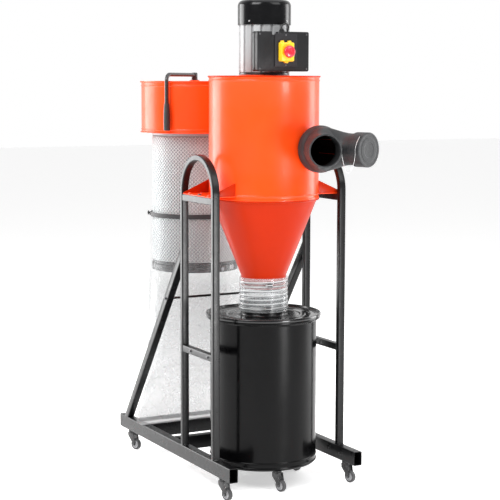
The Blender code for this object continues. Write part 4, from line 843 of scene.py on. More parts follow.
ring = Shape().lathe([(0.0765, -0.0006), (0.0935, -0.0006), (0.0935, -0.0060), (0.0765, -0.0060)], M["plastic"], 96, place=Matrix.Translation(D(0.124, HUB_BACK, 1.3765)) @ Matrix.Rotation(PI / 2, 4, "X") @ Matrix.Scale(-1, 4, Z))
boolean(hub, raw(ring, "ring"), "UNION")
settle(hub, M["plastic"], "frame", ["inlet_wye"], sharp=42)

cap_place = Matrix.Translation(B_CAP) @ B_DIR.to_track_quat("Z", "X").to_matrix().to_4x4()
s = Shape()
profile = fillet(
    [(0, -0.0008), (0.0300, -0.0008, 0.001), (0.0315, 0.0, 0.001), (0.0480, 0.0, 0.001), (0.0495, -0.0008, 0.001), (0.0580, -0.0008, 0.001), (0.0600, 0.0, 0.001), (0.0672, 0.0, 0.002),
     (0.0690, -0.0020, 0.002), (0.0690, -0.0555, 0.0006), (0.0646, -0.0555, 0.0005), (0.0642, -0.0045, 0.001), (0, -0.0045)], n=3, closed=False)
s.lathe(profile, M["cap_plastic"], 120, place=cap_place)
ear_place = cap_place @ Matrix.Rotation(EAR, 4, "Z")
s.box((0.0682, -0.0030, -0.0118), (0.0763, 0.0030, -0.0042), M["cap_plastic"], 0.0012, 3, ear_place)
s.make("cap_shell", "cap", "inlet_plastic", ["port_cap"], sharp=35)

# ------------------------------------------------------------------ motor
SIDES = 16
s = Shape()
outline = []
for i in range(SIDES):
    a = 2 * PI * i / SIDES
    for k in (-0.30, -0.22, 0.22, 0.30):
        r = 0.1040 if abs(k) < 0.25 else 0.0985
        if abs(k) < 0.25:
            r = 0.1040 * math.cos(0.0) * (1.0 if True else 1.0)
        t = a + k * 2 * PI / SIDES
        outline.append((r * math.cos(t), r * math.sin(t)))
flat = []
for i in range(SIDES):
    a = 2 * PI * i / SIDES
    n, w = Vector((math.cos(a), math.sin(a))), Vector((-math.sin(a), math.cos(a)))
    half, depth = 0.0137, 0.1022
    for u, d, rr in ((-half - 0.0028, 0.0945, 0.001), (-half, depth, 0.0016), (half, depth, 0.0016), (half + 0.0028, 0.0945, 0.001)):
        p = n * d + w * u
        flat.append((p.x, p.y, rr))
ring2 = fillet(flat, n=3)
zs = ((1.6918, 0.975), (1.6935, 1.0), (1.880, 1.0), (1.8860, 0.985))
s.rings([[Vector((x * k, AY + y * k, zz)) for x, y in ring2] for zz, k in zs], M["motor"])
s.lathe(fillet([(0, 1.6830), (0.1015, 1.6830, 0.001), (0.1025, 1.6840, 0.001), (0.1025, 1.6905, 0.0015), (0.0985, 1.6925, 0.001), (0, 1.6925)], closed=False), M["dark"], 120, at=(0, AY, 0))
s.lathe(fillet([(0, 1.8840), (0.0965, 1.8840), (0.0965, 1.8915, 0.0015), (0, 1.8915)], closed=False), M["dark"], 96, at=(0, AY, 0))
s.box((-0.055, AY - 0.1136, 1.737), (0.055, AY - 0.085, 1.807), M["dark"], 0.002, 2)
for k in range(8):
    t = 2 * PI * (k + 0.5) / 8
    s.hex_bolt((0.0935 * math.cos(t), AY + 0.0935 * math.sin(t), 1.6922), (0, 0, 1), 0.0042, 0.0036, M["bolt"], washer=False)
motor = s.make("motor_shell", "frame", "motor_alloy", ["motor_body"], sharp=28)

s = Shape()
profile = fillet(
    [(0.1080, 1.8825, 0.0006), (0.1080, 1.9825, 0.036), (0.0590, 1.9825, 0.003), (0.0560, 1.9795, 0.001), (0.0540, 1.9795), (0.0540, 1.9775), (0.0575, 1.9775),
     (0.0575, 1.9803, 0.001), (0.1058, 1.9803, 0.0338), (0.1058, 1.8825, 0.0006)], n=18)
s.lathe(rows(profile, 0.02), M["cowl"], 160, at=(0, AY, 0))
s.make("cowl_shell", "frame", "cowl_plastic", ["motor_cowl"], sharp=35)
s = Shape()
place = Matrix.Translation((0, AY, 0))
for r in (0.0215, 0.0270, 0.0325, 0.0380, 0.0435, 0.0490):
    s.lathe([(r + 0.0011 * math.cos(k * PI / 4), 1.9797 + 0.0011 * math.sin(k * PI / 4)) for k in range(8)], M["cowl"], 96, place=place)
s.lathe([(0.0540 + 0.0016 * math.cos(k * PI / 4), 1.9792 + 0.0016 * math.sin(k * PI / 4)) for k in range(8)], M["cowl"], 96, place=place)
s.lathe([(0.0200 + 0.0014 * math.cos(k * PI / 4), 1.9790 + 0.0014 * math.sin(k * PI / 4)) for k in range(8)], M["cowl"], 64, place=place)
for k in range(16):
    t = 2 * PI * k / 16
    s.box((0.0205, -0.0010, 1.9775), (0.0540, 0.0010, 1.9790), M["cowl"], 0.0003, 1, place @ Matrix.Rotation(t, 4, "Z"))
for k in range(4):
    t = PI / 4 + PI / 2 * k - 0.30
    lug = place @ Matrix.Rotation(t, 4, "Z")
    s.box((0.1060, -0.0050, 1.8925), (0.1084, 0.0050, 1.9005), M["dark"], 0.0008, 2, lug)
    s.lathe(fillet([(0, 0.1082), (0.0036, 0.1082), (0.0032, 0.1096, 0.0006), (0, 0.1100)], closed=False), M["bright"], 20, place=lug @ Matrix.Translation((0, 0, 1.8965)) @ Matrix.Rotation(PI / 2, 4, "Y"))
s.make("cowl_grille", "frame", "cowl_plastic", sharp=35)

# ------------------------------------------------------------------ control box
FRONT = AY - 0.160
s = Shape()
# Rear shell, groove and front cover, each a rounded slab with its corners cut.


def slab(x0, x1, z0, z1, y0, y1, corner, material, bevel, notch=None):
    line = [(x0, z0, corner), (x1, z0, corner), (x1, z1, corner)]
    if notch:
        line += [(notch[1], z1, 0.002), (notch[1], notch[2], 0.002), (notch[0], notch[2], 0.002), (notch[0], z1, 0.002)]
    line += [(x0, z1, corner)]
    outline = [Vector((x, y0, zz)) for x, zz in fillet(line, n=4)]
    s.prism(outline, Vector((0, y1 - y0, 0)), material, bevel=bevel, segments=3)


slab(-0.1165, 0.1165, 1.6960, 1.8525, AY - 0.1345, AY - 0.1140, 0.007, M["box"], 0.0016, (-0.051, -0.011, 1.8395))
slab(-0.1140, 0.1140, 1.6985, 1.8500, AY - 0.1385, AY - 0.1345, 0.006, M["bright"], 0.0, (-0.052, -0.010, 1.8385))
slab(-0.1165, 0.1165, 1.6960, 1.8525, FRONT, AY - 0.1385, 0.007, M["box"], 0.0028, (-0.051, -0.011, 1.8395))
s.lathe(fillet([(0, 1.8500), (0.0110, 1.8500, 0.0006), (0.0110, 1.8580, 0.0012), (0.0085, 1.8598, 0.0006), (0.0080, 1.8645, 0.0006), (0, 1.8645)], closed=False), M["box"], 32, at=(0.004, AY - 0.139, 0))
for x in (-0.106, 0.106):
    for zz in (1.7065, 1.8420):
        s.lathe(fillet([(0, 0), (0.0040, 0, 0), (0.0036, 0.0010, 0.0005), (0, 0.0012)], closed=False), M["bolt"], 20, place=Matrix.Translation((x, FRONT - 0.0001, zz)) @ Matrix.Rotation(PI / 2, 4, "X"))
s.make("box_shell", "frame", "switch_box_plastic", ["control_box"], sharp=35)

s = Shape()
slab(-0.0415, 0.0595, 1.7140, 1.8450, FRONT - 0.0043, FRONT - 0.0003, 0.004, M["plate"], 0.0012)
slab(-0.0370, 0.0550, 1.7185, 1.8405, FRONT - 0.0048, FRONT - 0.0041, 0.003, M["plate"], 0.0004)
for x, zz in ((0.0085, 1.8385), (0.0085, 1.7205)):
    s.lathe(fillet([(0, 0), (0.0040, 0, 0), (0.0034, 0.0012, 0.0006), (0.0010, 0.0014), (0.0010, 0.0006), (0, 0.0006)], closed=False), M["bolt"], 20, place=Matrix.Translation((x, FRONT - 0.0047, zz)) @ Matrix.Rotation(PI / 2, 4, "X"))
s.make("switch_plate_shell", "frame", "switch_box_plastic", ["switch_plate"], sharp=35)

SX, SZ = 0.0045, 1.773
base_y = FRONT - 0.0043 - 0.0003
s = Shape()
slab(SX - 0.030, SX + 0.030, 1.7345, 1.8095, base_y - 0.016, base_y, 0.004, M["yellow"], 0.0022)
body = raw(s, "switch_shell")
boolean(body, raw(Shape().box((SX - 0.009, base_y - 0.020, 1.745), (SX + 0.009, base_y - 0.008, 1.763), M["yellow"], 0), "recess"), "DIFFERENCE")
settle(body, M["yellow"], "frame", ["switch_body"], sharp=35)
s = Shape()
for x0, x1, z0, z1 in ((SX - 0.0235, SX - 0.0110, 1.8075, 1.8165), (SX + 0.0090, SX + 0.0215, 1.8075, 1.8165), (SX - 0.008, SX + 0.008, 1.7285, 1.7365)):
    slab(x0, x1, z0, z1, base_y - 0.0135, base_y - 0.0015, 0.0025, M["yellow"], 0.0012)
s.make("switch_lugs", "frame", "switch_yellow", sharp=35)

flap_back = base_y - 0.016 - 0.0003
s = Shape()
slab(SX - 0.029, SX + 0.029, 1.7358, 1.8085, flap_back - 0.008, flap_back, 0.0045, M["yellow"], 0.0026)
cover = raw(s, "cover_shell")
boolean(cover, raw(Shape().lathe([(0, -0.02), (0.0097, -0.02), (0.0097, 0.02), (0, 0.02)], M["yellow"], 48, place=Matrix.Translation((SX, flap_back, SZ)) @ Matrix.Rotation(PI / 2, 4, "X")), "hole"), "DIFFERENCE")
settle(cover, M["yellow"], "cover", ["switch_cover"], sharp=35)
s = Shape()
s.lathe([(0.0260 + 0.0006 * math.cos(k * PI / 3), 0.0080 + 0.0006 * math.sin(k * PI / 3)) for k in range(6)], M["yellow"], 72, place=Matrix.Translation((SX, flap_back, SZ)) @ Matrix.Rotation(PI / 2, 4, "X"))
for zz in (1.7385, 1.8040):
    s.box((SX - 0.012, flap_back - 0.0088, zz - 0.0012), (SX + 0.012, flap_back - 0.0074, zz + 0.0012), M["yellow"], 0.0005, 2)
s.make("cover_marks", "cover", "switch_yellow", sharp=35)
s = Shape()
profile = fillet([(0, 0.0055), (0.0092, 0.0055, 0.0005), (0.0092, 0.0148, 0.001), (0.0232, 0.0162, 0.002), (0.0246, 0.0208, 0.003), (0.0230, 0.0272, 0.005), (0.0130, 0.0300, 0.008), (0.0060, 0.0296, 0.003), (0, 0.0294)], n=5, closed=False)
s.lathe(profile, M["red"], 96, place=Matrix.Translation((SX, flap_back, SZ)) @ Matrix.Rotation(PI / 2, 4, "X"), wobble=lambda r, zz, t: r * (1 - 0.018 * (0.5 + 0.5 * math.cos(16 * t)) * (1 if 0.0215 < r else 0)))
s.make("knob_shell", "stop_button", "stop_red", ["stop_knob"], sharp=45)

cable_route = [(0.004, -0.139, 1.8530), (0.004, -0.139, 1.8605), (0.010, -0.1385, 1.8690), (0.022, -0.1360, 1.8725), (0.035, -0.1300, 1.8695), (0.044, -0.1200, 1.8610), (0.048, -0.1100, 1.8490), (0.0485, -0.1045, 1.8340), (0.0485, -0.1035, 1.8150), (0.0485, -0.1035, 1.7955)]
path = smooth_path([D(*p) for p in cable_route], 0.0025)
s = Shape().rings(swept(path, disc(0.0034, 20), (1, 0, 0)), M["cable"])
s.make("cable_run", "frame", "cable_rubber", ["control_cable"], sharp=60)

# ------------------------------------------------------------------ manifold and duct
profile = fillet(
    [(0.0085, 1.6520), (0.0085, 1.6620, 0.0008), (0.0220, 1.6620, 0.0015), (0.0240, 1.6540, 0.002), (0.0600, 1.6545, 0.004), (0.0680, 1.6570, 0.004), (0.1850, 1.6570, 0.006), (0.1950, 1.6540, 0.006),
     (0.2345, 1.6540, 0.002), (0.2352, 1.6580, 0.0008), (0.2428, 1.6580, 0.0012), (0.2433, 1.6545, 0.0012), (0.2420, 1.6515, 0.001), (0.2376, 1.6500, 0.0015), (0.2375, 1.6440, 0.002)], n=4, closed=False)
profile = profile[:-1] + bead(0.2375, 1.6365, 0.0020, 0.0045) + [(0.2375, 1.59), (0.2375, 1.54), (0.2375, 1.49)] + bead(0.2375, 1.4460, 0.0020, 0.0045)
profile += fillet([(0.2375, 1.4400), (0.2375, 1.4370, 0.002), (0.2424, 1.4345, 0.001), (0.2424, 1.4310, 0.001), (0.1500, 1.4310, 0.0005), (0.1500, 1.4330, 0.0005), (0.2360, 1.4330, 0.001), (0.2360, 1.5000)], n=3, closed=False)
profile += [(0.2360, 1.60), (0.2360, 1.6520)]
manifold = raw(Shape().lathe(profile, M["orange"], 192, at=(0, FY, 0)), "manifold_shell")
boolean(manifold, raw(Shape().box((0.032, AY + 0.30, 1.487), (0.198, FY - 0.02, 1.627), M["orange"], bevel=0), "window"), "DIFFERENCE")
settle(manifold, M["orange"], "frame", ["filter_manifold"], sharp=30)

s = Shape()
tube(s, (0.115, AY + 0.05, 1.557), (0.115, FY - 0.05, 1.557), X, 0.178, Z, 0.152, 0.006, 0.002, M["orange"])
duct = raw(s, "duct_shell")
boolean(duct, raw(Shape().lathe([(0, 1.3), (0.2253, 1.3), (0.2253, 1.7), (0, 1.7)], M["orange"], 192, at=(0, AY, 0)), "clear"), "DIFFERENCE")
boolean(duct, raw(Shape().lathe([(0, 1.3), (0.2378, 1.3), (0.2378, 1.7), (0, 1.7)], M["orange"], 192, at=(0, FY, 0)), "clear"), "DIFFERENCE")
settle(duct, M["orange"], "frame", ["outlet_duct"], sharp=30)

# ------------------------------------------------------------------ canister filter
pleats, per = 150, 6
steps = pleats * per
s = Shape()
wave = [0.0, 0.45, 0.9, 1.0, 0.9, 0.45]
outer_r, deep = 0.1885, 0.0105


def pleat_ring(zz, scale=1.0):
    return [Vector(((outer_r - deep * (1 - wave[j % per])) * math.cos(2 * PI * j / steps), FY + (outer_r - deep * (1 - wave[j % per])) * math.sin(2 * PI * j / steps), zz)) for j in range(steps)]


inner = [[Vector((0.1565 * math.cos(2 * PI * j / steps), FY + 0.1565 * math.sin(2 * PI * j / steps), zz)) for j in range(steps)] for zz in (1.4300, 0.8480)]
s.rings([pleat_ring(0.8480), pleat_ring(1.4300)] + inner, M["paper"], loop=True)
for z0, z1 in ((0.8476, 0.8610), (1.4200, 1.4306)):
    s.lathe(fillet([(0.1562, z0, 0.0005), (0.1910, z0, 0.0015), (0.1910, z1, 0.0015), (0.1562, z1, 0.0005)], n=3), M["band" if z0 < 1 else "hub"], 144, at=(0, FY, 0))
s.make("filter_pleats", "frame", "filter_mesh", ["canister_filter"], sharp=40)
# Expanded-metal sleeve: strands that zigzag round the canister and meet in diamonds.
s = Shape()
cells, pitch = 74, 0.0162
rows_n = int((1.4190 - 0.8620) / (pitch / 2)) - 1
verts, faces = [], []
R0, R1, half = 0.1891, 0.1901, 0.0010
for row in range(rows_n + 1):
    base = 0.8620 + pitch / 2 * row
    ring = []
    count = cells * 4
    for j in range(count):
        t = 2 * PI * j / count
        phase = (j % 4) / 4.0
        swing = abs(2 * phase - 1) * 2 - 1  # zigzag between -1 and 1
        zz = base + pitch * 0.5 * (0.5 + 0.5 * swing * (1 if row % 2 == 0 else -1))
        ring.append((t, zz))
    first = len(verts)
    for t, zz in ring:
        for r, dz in ((R0, -half), (R1, -half), (R1, half), (R0, half)):
            verts.append(Vector((r * math.cos(t), FY + r * math.sin(t), min(max(zz + dz, 0.8615), 1.4195))))
    for j in range(count):
        k = (j + 1) % count
        for m in range(4):
            q = (m + 1) % 4
            faces.append((first + 4 * j + m, first + 4 * j + q, first + 4 * k + q, first + 4 * k + m))
s.add(verts, faces, M["wire"])
s.make("filter_sleeve", "frame", "filter_mesh", sharp=60, weld=False)

s = Shape()
s.lathe(fillet([(0.1928, 0.8172, 0.001), (0.1930, 0.8300), (0.1928, 0.8470, 0.001), (0.1545, 0.8470, 0.001), (0.1545, 0.8172, 0.001)], n=3), M["band"], 144, at=(0, FY, 0))
a = math.radians(14)
place = Matrix.Translation((0.1925 * math.sin(a), FY - 0.1925 * math.cos(a), 0.8300)) @ Matrix.Rotation(a, 4, "Z")
s.lathe(fillet([(0, 0), (0.0080, 0, 0), (0.0076, 0.0016, 0.0006), (0, 0.0020)], closed=False), M["hub"], 28, place=place @ Matrix.Rotation(PI / 2, 4, "X"))
a = math.radians(32)
place = Matrix.Translation((0.1925 * math.sin(a), FY - 0.1925 * math.cos(a), 0.8330)) @ Matrix.Rotation(a, 4, "Z")
s.box((-0.018, -0.0016, -0.0095), (0.018, 0.0004, 0.0095), M["hub"], 0.0008, 2, place)
s.make("filter_band", "frame", "canister_band", ["canister_ring"], sharp=35)

# ------------------------------------------------------------------ film bag
SECTIONS = [
    (0.1976, 0.1976, 1.0840, FY), (0.1982, 0.1982, 1.045, FY), (0.2035, 0.2020, 0.930, FY), (0.2075, 0.2040, 0.827, FY), (0.2160, 0.1930, 0.752, FY), (0.2320, 0.168, 0.512, FY - 0.006),
    (0.2560, 0.125, 0.342, FY - 0.024), (0.2830, 0.075, 0.252, FY - 0.042), (0.3140, 0.026, 0.184, FY - 0.056), (0.3200, 0.004, 0.1500, FY - 0.062),
]


def bag_at(zz):
    pts = SECTIONS
    i = 0
    while i < len(pts) - 2 and zz < pts[i + 1][2]:
        i += 1
    a0 = pts[max(i - 1, 0)]
    a1, a2 = pts[i], pts[i + 1]
    a3 = pts[min(i + 2, len(pts) - 1)]
    t = (a1[2] - zz) / (a1[2] - a2[2])

    def monotone(k):
        p, q = a1[k], a2[k]
        d = (q - p) / (a1[2] - a2[2])
        dp = 0.0 if a0 is a1 else (p - a0[k]) / (a0[2] - a1[2])
        dn = d if a3 is a2 else (a3[k] - q) / (a2[2] - a3[2])
        m1 = 0.0 if dp * d <= 0 else 2 * dp * d / (dp + d)
        m2 = d if a3 is a2 else (0.0 if dn * d <= 0 else 2 * dn * d / (dn + d))
        h = a1[2] - a2[2]
        return (2 * t**3 - 3 * t * t + 1) * p + (t**3 - 2 * t * t + t) * h * m1 + (-2 * t**3 + 3 * t * t) * q + (t**3 - t * t) * h * m2

    return monotone(0), monotone(1), monotone(3)


def crease(p, scale, seed, power=1.0):
    """Ridged noise: thin bright creases between smooth facets, as in stiff film."""
    q = p * scale + Vector((seed, seed * 1.7, -seed))
    return (1.0 - abs(noise.noise(q))) ** power


steps, levels = 260, 200
rings = []
top, bottom = 1.0840, 0.1500
for i in range(levels + 1):
    zz = top + (bottom - top) * i / levels
    a, b, yc = bag_at(zz)
    ring = []
    for j in range(steps):
        t = 2 * PI * j / steps
        c, sn = math.cos(t), math.sin(t)
        p = Vector((a * c, yc + b * sn, zz))
        n = Vector((c / max(a, 1e-6), sn / max(b, 1e-6), 0)).normalized()
        free = min(1.0, max(0.0, (1.050 - zz) / 0.10)) * min(1.0, max(0.0, (zz - 0.155) / 0.08))
        low = min(1.0, max(0.0, (0.80 - zz) / 0.25))
        arc = Vector((math.atan2(sn, c) * 0.20, 0, zz))
        around = Vector((c * 0.21, sn * 0.21, zz))
        folds = Vector((around.x, around.y, around.z * 0.32))
        wide = noise.noise(folds * 7.0 + Vector((3.1, 0, 5.0)))
        cross = noise.noise(Vector((around.x * 0.8, around.y * 0.8, around.z)) * 9.0 + Vector((8.0, 2.0, 1.0)))
        ridge = crease(Vector((around.x, around.y, around.z * 0.5)), 14.0, 4.0, 3.0) + 0.6 * crease(Vector((around.x * 1.0, around.y, around.z * 1.2)), 22.0, 9.0, 4.0)
        push = free * (0.0040 * wide + 0.0030 * cross + 0.0030 * (ridge - 0.9) + low * 0.0060 * noise.noise(around * 4.0))
        # The film gathers into vertical tucks under the strap.
        near = math.exp(-(((zz - 1.035) / 0.050) ** 2))
        push += near * min(1.0, max(0.0, (1.046 - zz) / 0.012)) * 0.0022 * (math.sin(t * 46) * noise.noise(Vector((c * 3, sn * 3, 0.5))) + 0.4)
        # Sides draw in a little; the low front sags towards the seam.
        push -= free * 0.0035
        q = p + n * push
        if zz < 0.84:
            keep = math.hypot(q.x, q.y - FY)
        else:
            keep = math.hypot(q.x, q.y - FY)
            if keep < 0.1940:  # never inside the canister or its band
                q.x, q.y = q.x * 0.1940 / keep, FY + (q.y - FY) * 0.1940 / keep
        ring.append(q)
    rings.append(ring)
s = Shape().rings(rings, M["film"], caps=False)
bag = s.make("film_bag", "frame", "film_bag", ["collection_bag"], sharp=180)
bag.data.shade_smooth()

# Heat-sealed seam and the spare film below it, which lies over the crossbar.
s = Shape()
seam_rows = []
nx = 150
route = [(0.1680, 0.0), (0.1600, -0.0005), (0.1520, -0.0015), (0.1475, -0.0060), (0.1465, -0.0140), (0.1460, -0.0250), (0.1457, -0.0380), (0.1450, -0.0470)]
for k, (zz, dy) in enumerate(route):
    row = []
    for i in range(nx + 1):
        u = -1 + 2 * i / nx
        x = u * 0.3165
        lift = 0.0016 * (noise.noise(Vector((x * 18, zz * 40, dy * 60))) + 0.9) * (1 if k > 2 else 0.3)
        yy = FY - 0.0620 + dy + 0.0025 * noise.noise(Vector((x * 9, k * 0.4, 2.0))) * (1 if k > 2 else 0.2)
        row.append(Vector((x, yy, zz + lift)))
    seam_rows.append(row)
verts = [p for row in seam_rows for p in row]
faces = []
for k in range(len(route) - 1):
    for i in range(nx):
        faces.append((k * (nx + 1) + i, k * (nx + 1) + i + 1, (k + 1) * (nx + 1) + i + 1, (k + 1) * (nx + 1) + i))
s.add(verts, faces, M["seam"])
flap = s.make("bag_hem", "frame", "film_bag", sharp=180)

s = Shape()
s.lathe(fillet([(0.1979, 1.0562, 0.0005), (0.1998, 1.0560, 0.0008), (0.2003, 1.0600), (0.2003, 1.0720), (0.1998, 1.0760, 0.0008), (0.1979, 1.0758, 0.0005)], n=2), M["web"], 160, at=(0, FY, 0))
turn = math.radians(-116)
place = Matrix.Translation((0.1995 * math.sin(turn), FY - 0.1995 * math.cos(turn), 1.066)) @ Matrix.Rotation(turn, 4, "Z")
s.box((-0.0130, -0.0040, -0.0080), (0.0130, 0.0004, 0.0080), M["band"], 0.0014, 3, place)
s.lathe(fillet([(0, -0.0006), (0.0042, -0.0006), (0.0042, 0.0020, 0.0008), (0.0092, 0.0032, 0.0012), (0.0092, 0.0092, 0.0025), (0, 0.0104)], closed=False), M["grip"], 32, place=place @ Matrix.Translation((0, -0.0036, 0.0030)) @ Matrix.Rotation(PI / 2, 4, "X"))
s.make("strap_shell", "frame", "strap_web", ["bag_strap"], sharp=40)

# ------------------------------------------------------------------ crank
HEADING = math.radians(-53)
out = Vector((math.sin(HEADING), -math.cos(HEADING), 0))
centre = Vector((0, FY, 0))
bend, reach, arm_z = 0.028, 0.263, 1.6855
path = [centre + r * out + Vector((0, 0, arm_z)) for r in (0.004, 0.05, 0.10, 0.15, 0.20, reach - bend)]
for i in range(1, 17):
    t = PI / 2 * i / 16
    path.append(centre + (reach - bend + bend * math.sin(t)) * out + Vector((0, 0, arm_z - bend + bend * math.cos(t))))
path += [centre + reach * out + Vector((0, 0, zz)) for zz in (1.60, 1.54, 1.4545)]
side_dir = Z.cross(out)
s = Shape().rings(swept(path, disc(0.0085, 28), side_dir), M["crank"])
s.lathe(fillet([(0, 1.6625), (0.0135, 1.6625, 0.0006), (0.0135, 1.6910, 0.001), (0.0120, 1.6952, 0.002), (0, 1.6960)], closed=False), M["crank"], 40, at=(0, FY, 0))
s.lathe(fillet([(0, 1.6622), (0.0170, 1.6622, 0.0004), (0.0170, 1.6642, 0.0004), (0, 1.6642)], closed=False), M["crank"], 40, at=(0, FY, 0))
s.lathe([(0, 0.912), (0.0078, 0.912), (0.0078, 1.667), (0, 1.667)], M["crank"], 32, at=(0, FY, 0))
grip_c = centre + reach * out
s.lathe(fillet([(0, 1.5625), (0.0104, 1.5625, 0.0005), (0.0104, 1.5650, 0.0005), (0, 1.5650)], closed=False), M["crank"], 32, at=(grip_c.x, grip_c.y, 0))
s.make("crank_bar", "crank", "crank_steel", ["crank"], sharp=40)
s = Shape()
profile = fillet([(0.0088, 1.4445), (0.0120, 1.4445, 0.0015), (0.0140, 1.4480, 0.004), (0.0146, 1.4800, 0.02), (0.0138, 1.5300, 0.02), (0.0110, 1.5600, 0.003), (0.0088, 1.5620, 0.0006)], n=5)
s.lathe(rows(profile, 0.01), M["grip"], 48, at=(grip_c.x, grip_c.y, 0))
s.make("grip_shell", "grip", "grip_plastic", ["crank_grip"], sharp=45)

# ------------------------------------------------------------------ casters
PLACES = {
    "caster_front_left": (-0.287, AY - 0.200, -74.0, 0.0870), "caster_front_right": (0.287, AY - 0.200, -74.0, 0.0870),
    "caster_rear_left": (-0.287, AY + 0.711, -68.0, 0.0870), "caster_rear_right": (0.287, AY + 0.711, -80.0, 0.0870),
    "drum_caster_front": (-0.036, AY - 0.188, -74.0, 0.0860), "drum_caster_right": (0.181, AY + 0.063, -80.0, 0.0860),
    "drum_caster_left": (-0.145, AY + 0.125, -70.0, 0.0860),
}
for name, (x, y, heading, top) in PLACES.items():
    place = Matrix.Translation((x, y, 0)) @ Matrix.Rotation(math.radians(heading), 4, "Z")
    head = top - 0.0003
    s = Shape()
    s.lathe(fillet([(0, head), (0.0180, head, 0.0008), (0.0190, head - 0.0035, 0.002), (0.0186, head - 0.0060, 0.001), (0.0168, head - 0.0066, 0.0005), (0.0168, head - 0.0078), (0, head - 0.0078)], closed=False), M["caster"], 48, place=place)
    half = 0.0145
    line = fillet([(-0.0160, -half + 0.002, 0.005), (0.0195, -half + 0.002, 0.005), (0.0195, half - 0.002, 0.005), (-0.0160, half - 0.002, 0.005)], n=4)
    s.prism([Vector((u, v, head - 0.0112)) for u, v in line], Vector((0, 0, 0.0036)), M["caster"], 0.0006, 2, place)
    for side in (-1, 1):
        yy = half - 0.0025 if side > 0 else -half
        line = fillet([(-0.0157, head - 0.0092, 0.001), (0.0197, head - 0.0092, 0.001), (0.0275, 0.0370, 0.014), (0.0290, 0.0190, 0.010), (0.0152, 0.0178, 0.010), (0.0040, 0.0400, 0.020), (-0.0152, head - 0.0260, 0.006)], n=6)
        s.prism([Vector((u, yy, v)) for u, v in line], Vector((0, 0.0025, 0)), M["caster"], 0.0006, 2, place)
        turn = place @ Matrix.Translation((0.022, side * half, 0.025)) @ Matrix.Rotation(-side * PI / 2, 4, "X")
        s.hex_bolt((0, 0, 0), (0, 0, 1), 0.0042, 0.0020, M["bright"], washer=False) if False else None
        s.prism([turn @ Vector((0.0042 * math.cos(k * PI / 3), 0.0042 * math.sin(k * PI / 3), -0.0004)) for k in range(6)], (turn.to_3x3() @ Vector((0, 0, 0.0024))), M["bolt"], 0.0004, 1)
    s.prism([place @ Vector((0.022 + 0.0030 * math.cos(k * PI / 8), -half + 0.001, 0.025 + 0.0030 * math.sin(k * PI / 8))) for k in range(16)], place.to_3x3() @ Vector((0, 2 * half - 0.002, 0)), M["bolt"], 0.0, 1)
    if name == "caster_rear_left":
        s.box((-0.0200, -0.0085, head - 0.0300), (-0.0115, 0.0085, head - 0.0215), M["caster"], 0.0018, 3, place @ Matrix.Translation((0, 0, 0)))
    s.make(f"{name}_yoke", f"{name}_swivel", "caster_steel", [f"{name}_fork"], sharp=35)
    s = Shape()
    roll = place @ Matrix.Translation((0.022, 0, 0.025)) @ Matrix.Rotation(-PI / 2, 4, "X")
    tyre = fillet(
        [(0.0180, -0.0090, 0.0006), (0.0222, -0.0090, 0.0020), (0.0250, -0.0062, 0.0030), (0.0250, 0.0062, 0.0030), (0.0222, 0.0090, 0.0020), (0.0180, 0.0090, 0.0006), (0.0172, 0.0078, 0.0005), (0.0172, -0.0078, 0.0005)], n=4)
    s.lathe(tyre, M["tread"], 72, place=roll)
    web = fillet([(0.0044, -0.0094, 0.0006), (0.0080, -0.0094, 0.001), (0.0092, -0.0062, 0.001), (0.0152, -0.0062, 0.001), (0.0164, -0.0084, 0.0008), (0.0178, -0.0084, 0.0004), (0.0178, 0.0084, 0.0004), (0.0164, 0.0084, 0.0008), (0.0152, 0.0062, 0.001), (0.0092, 0.0062, 0.001), (0.0080, 0.0094, 0.001), (0.0044, 0.0094, 0.0006)], n=2)
    s.lathe(web, M["hub"], 72, place=roll)
    for k in range(5):
        spoke = roll @ Matrix.Rotation(2 * PI * k / 5, 4, "Z")
        s.box((0.0085, -0.0010, -0.0078), (0.0160, 0.0010, 0.0078), M["hub"], 0.0003, 1, spoke)
    s.make(f"{name}_tyre", f"{name}_roll", "caster_tread", [f"{name}_wheel"], sharp=35)

# ------------------------------------------------------------------ CAD pieces that stay
# The vortex tube takes the dark brown of the barrel's inside, which is painted shade.
for node, key in (("motor_rotor", "rotor"), ("flapper", "rubber"), ("vortex_tube", "inner"), ("start_button", "green")):
    data = NODES[node].data
    data.materials.clear()
    data.materials.append(M[key])

# ------------------------------------------------------------------ stage and light
floor_mat, tree, shader = new_material("pale_floor")
noise_in = tree.nodes.new("ShaderNodeTexNoise")
noise_in.inputs["Scale"].default_value = 0.7
shade = tree.nodes.new("ShaderNodeMapRange")
shade.inputs["To Min"].default_value, shade.inputs["To Max"].default_value = 0.93, 0.95
tree.links.new(noise_in.outputs["Fac"], shade.inputs["Value"])
tree.links.new(shade.outputs["Result"], shader.inputs["Base Color"])
put(shader, "Roughness", 0.75)
shader.inputs["Emission Color"].default_value = (1, 1, 1, 1)
put(shader, "Emission Strength", 0.45)
put(shader, "Specular IOR Level", 0.2)
bpy.ops.mesh.primitive_plane_add(size=60, location=(0, 0, -0.0005))
floor = bpy.context.object
floor.name = "studio_floor"
floor.data.materials.append(floor_mat)

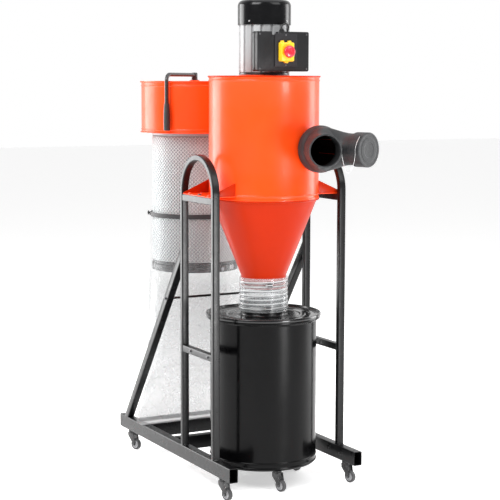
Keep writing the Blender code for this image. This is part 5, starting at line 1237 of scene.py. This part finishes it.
world = bpy.data.worlds.new("studio")
world.use_nodes = True
SCENE.world = world
wt = world.node_tree
background = wt.nodes["Background"]
# A white backdrop beyond the object and a dim room on the camera's side, as in a product studio.
coord = wt.nodes.new("ShaderNodeTexCoord")
facing = wt.nodes.new("ShaderNodeVectorMath")
facing.operation = "DOT_PRODUCT"
facing.inputs[1].default_value = (0.469, 0.883, 0.0)
wt.links.new(coord.outputs["Generated"], facing.inputs[0])
lift = wt.nodes.new("ShaderNodeMapRange")
lift.interpolation_type = "SMOOTHSTEP"
lift.inputs["From Min"].default_value, lift.inputs["From Max"].default_value = -0.15, 0.75
lift.inputs["To Min"].default_value, lift.inputs["To Max"].default_value = 0.24, 1.0
wt.links.new(facing.outputs["Value"], lift.inputs["Value"])
wt.links.new(lift.outputs["Result"], background.inputs["Color"])
background.inputs["Strength"].default_value = 1.0
SCENE.view_settings.view_transform = "Standard"
SCENE.view_settings.look = "None"


def area(name, at, aim, w, h, power, colour=(1, 1, 1)):
    data = bpy.data.lights.new(name, "AREA")
    data.shape, data.size, data.size_y, data.energy, data.color = "RECTANGLE", w, h, power, colour
    lamp = bpy.data.objects.new(name, data)
    lamp.location = at
    lamp.rotation_euler = (Vector(aim) - Vector(at)).to_track_quat("-Z", "Y").to_euler()
    SCENE.collection.objects.link(lamp)
    return lamp


def around(azimuth, distance, height):
    """A point round the object, by azimuth from its front."""
    t = math.radians(azimuth)
    return (distance * math.sin(t), -distance * math.cos(t), height)


area("left_soft", around(-142, 3.4, 1.5), (0, 0, 1.1), 2.0, 2.8, 130)
area("right_soft", around(84, 3.4, 1.5), (0, 0, 1.1), 1.3, 2.8, 70)
area("front_strip", around(15, 4.0, 0.45), (0, 0, 0.4), 0.9, 1.1, 70)
area("key_high", around(-66, 4.4, 4.6), (0, 0, 1.0), 3.0, 3.0, 320)
area("fill_high", around(25, 4.4, 4.4), (0, 0, 1.0), 3.2, 3.0, 120)
area("top_soft", (0.2, -0.2, 4.8), (0, 0, 0.8), 3.6, 3.6, 60)
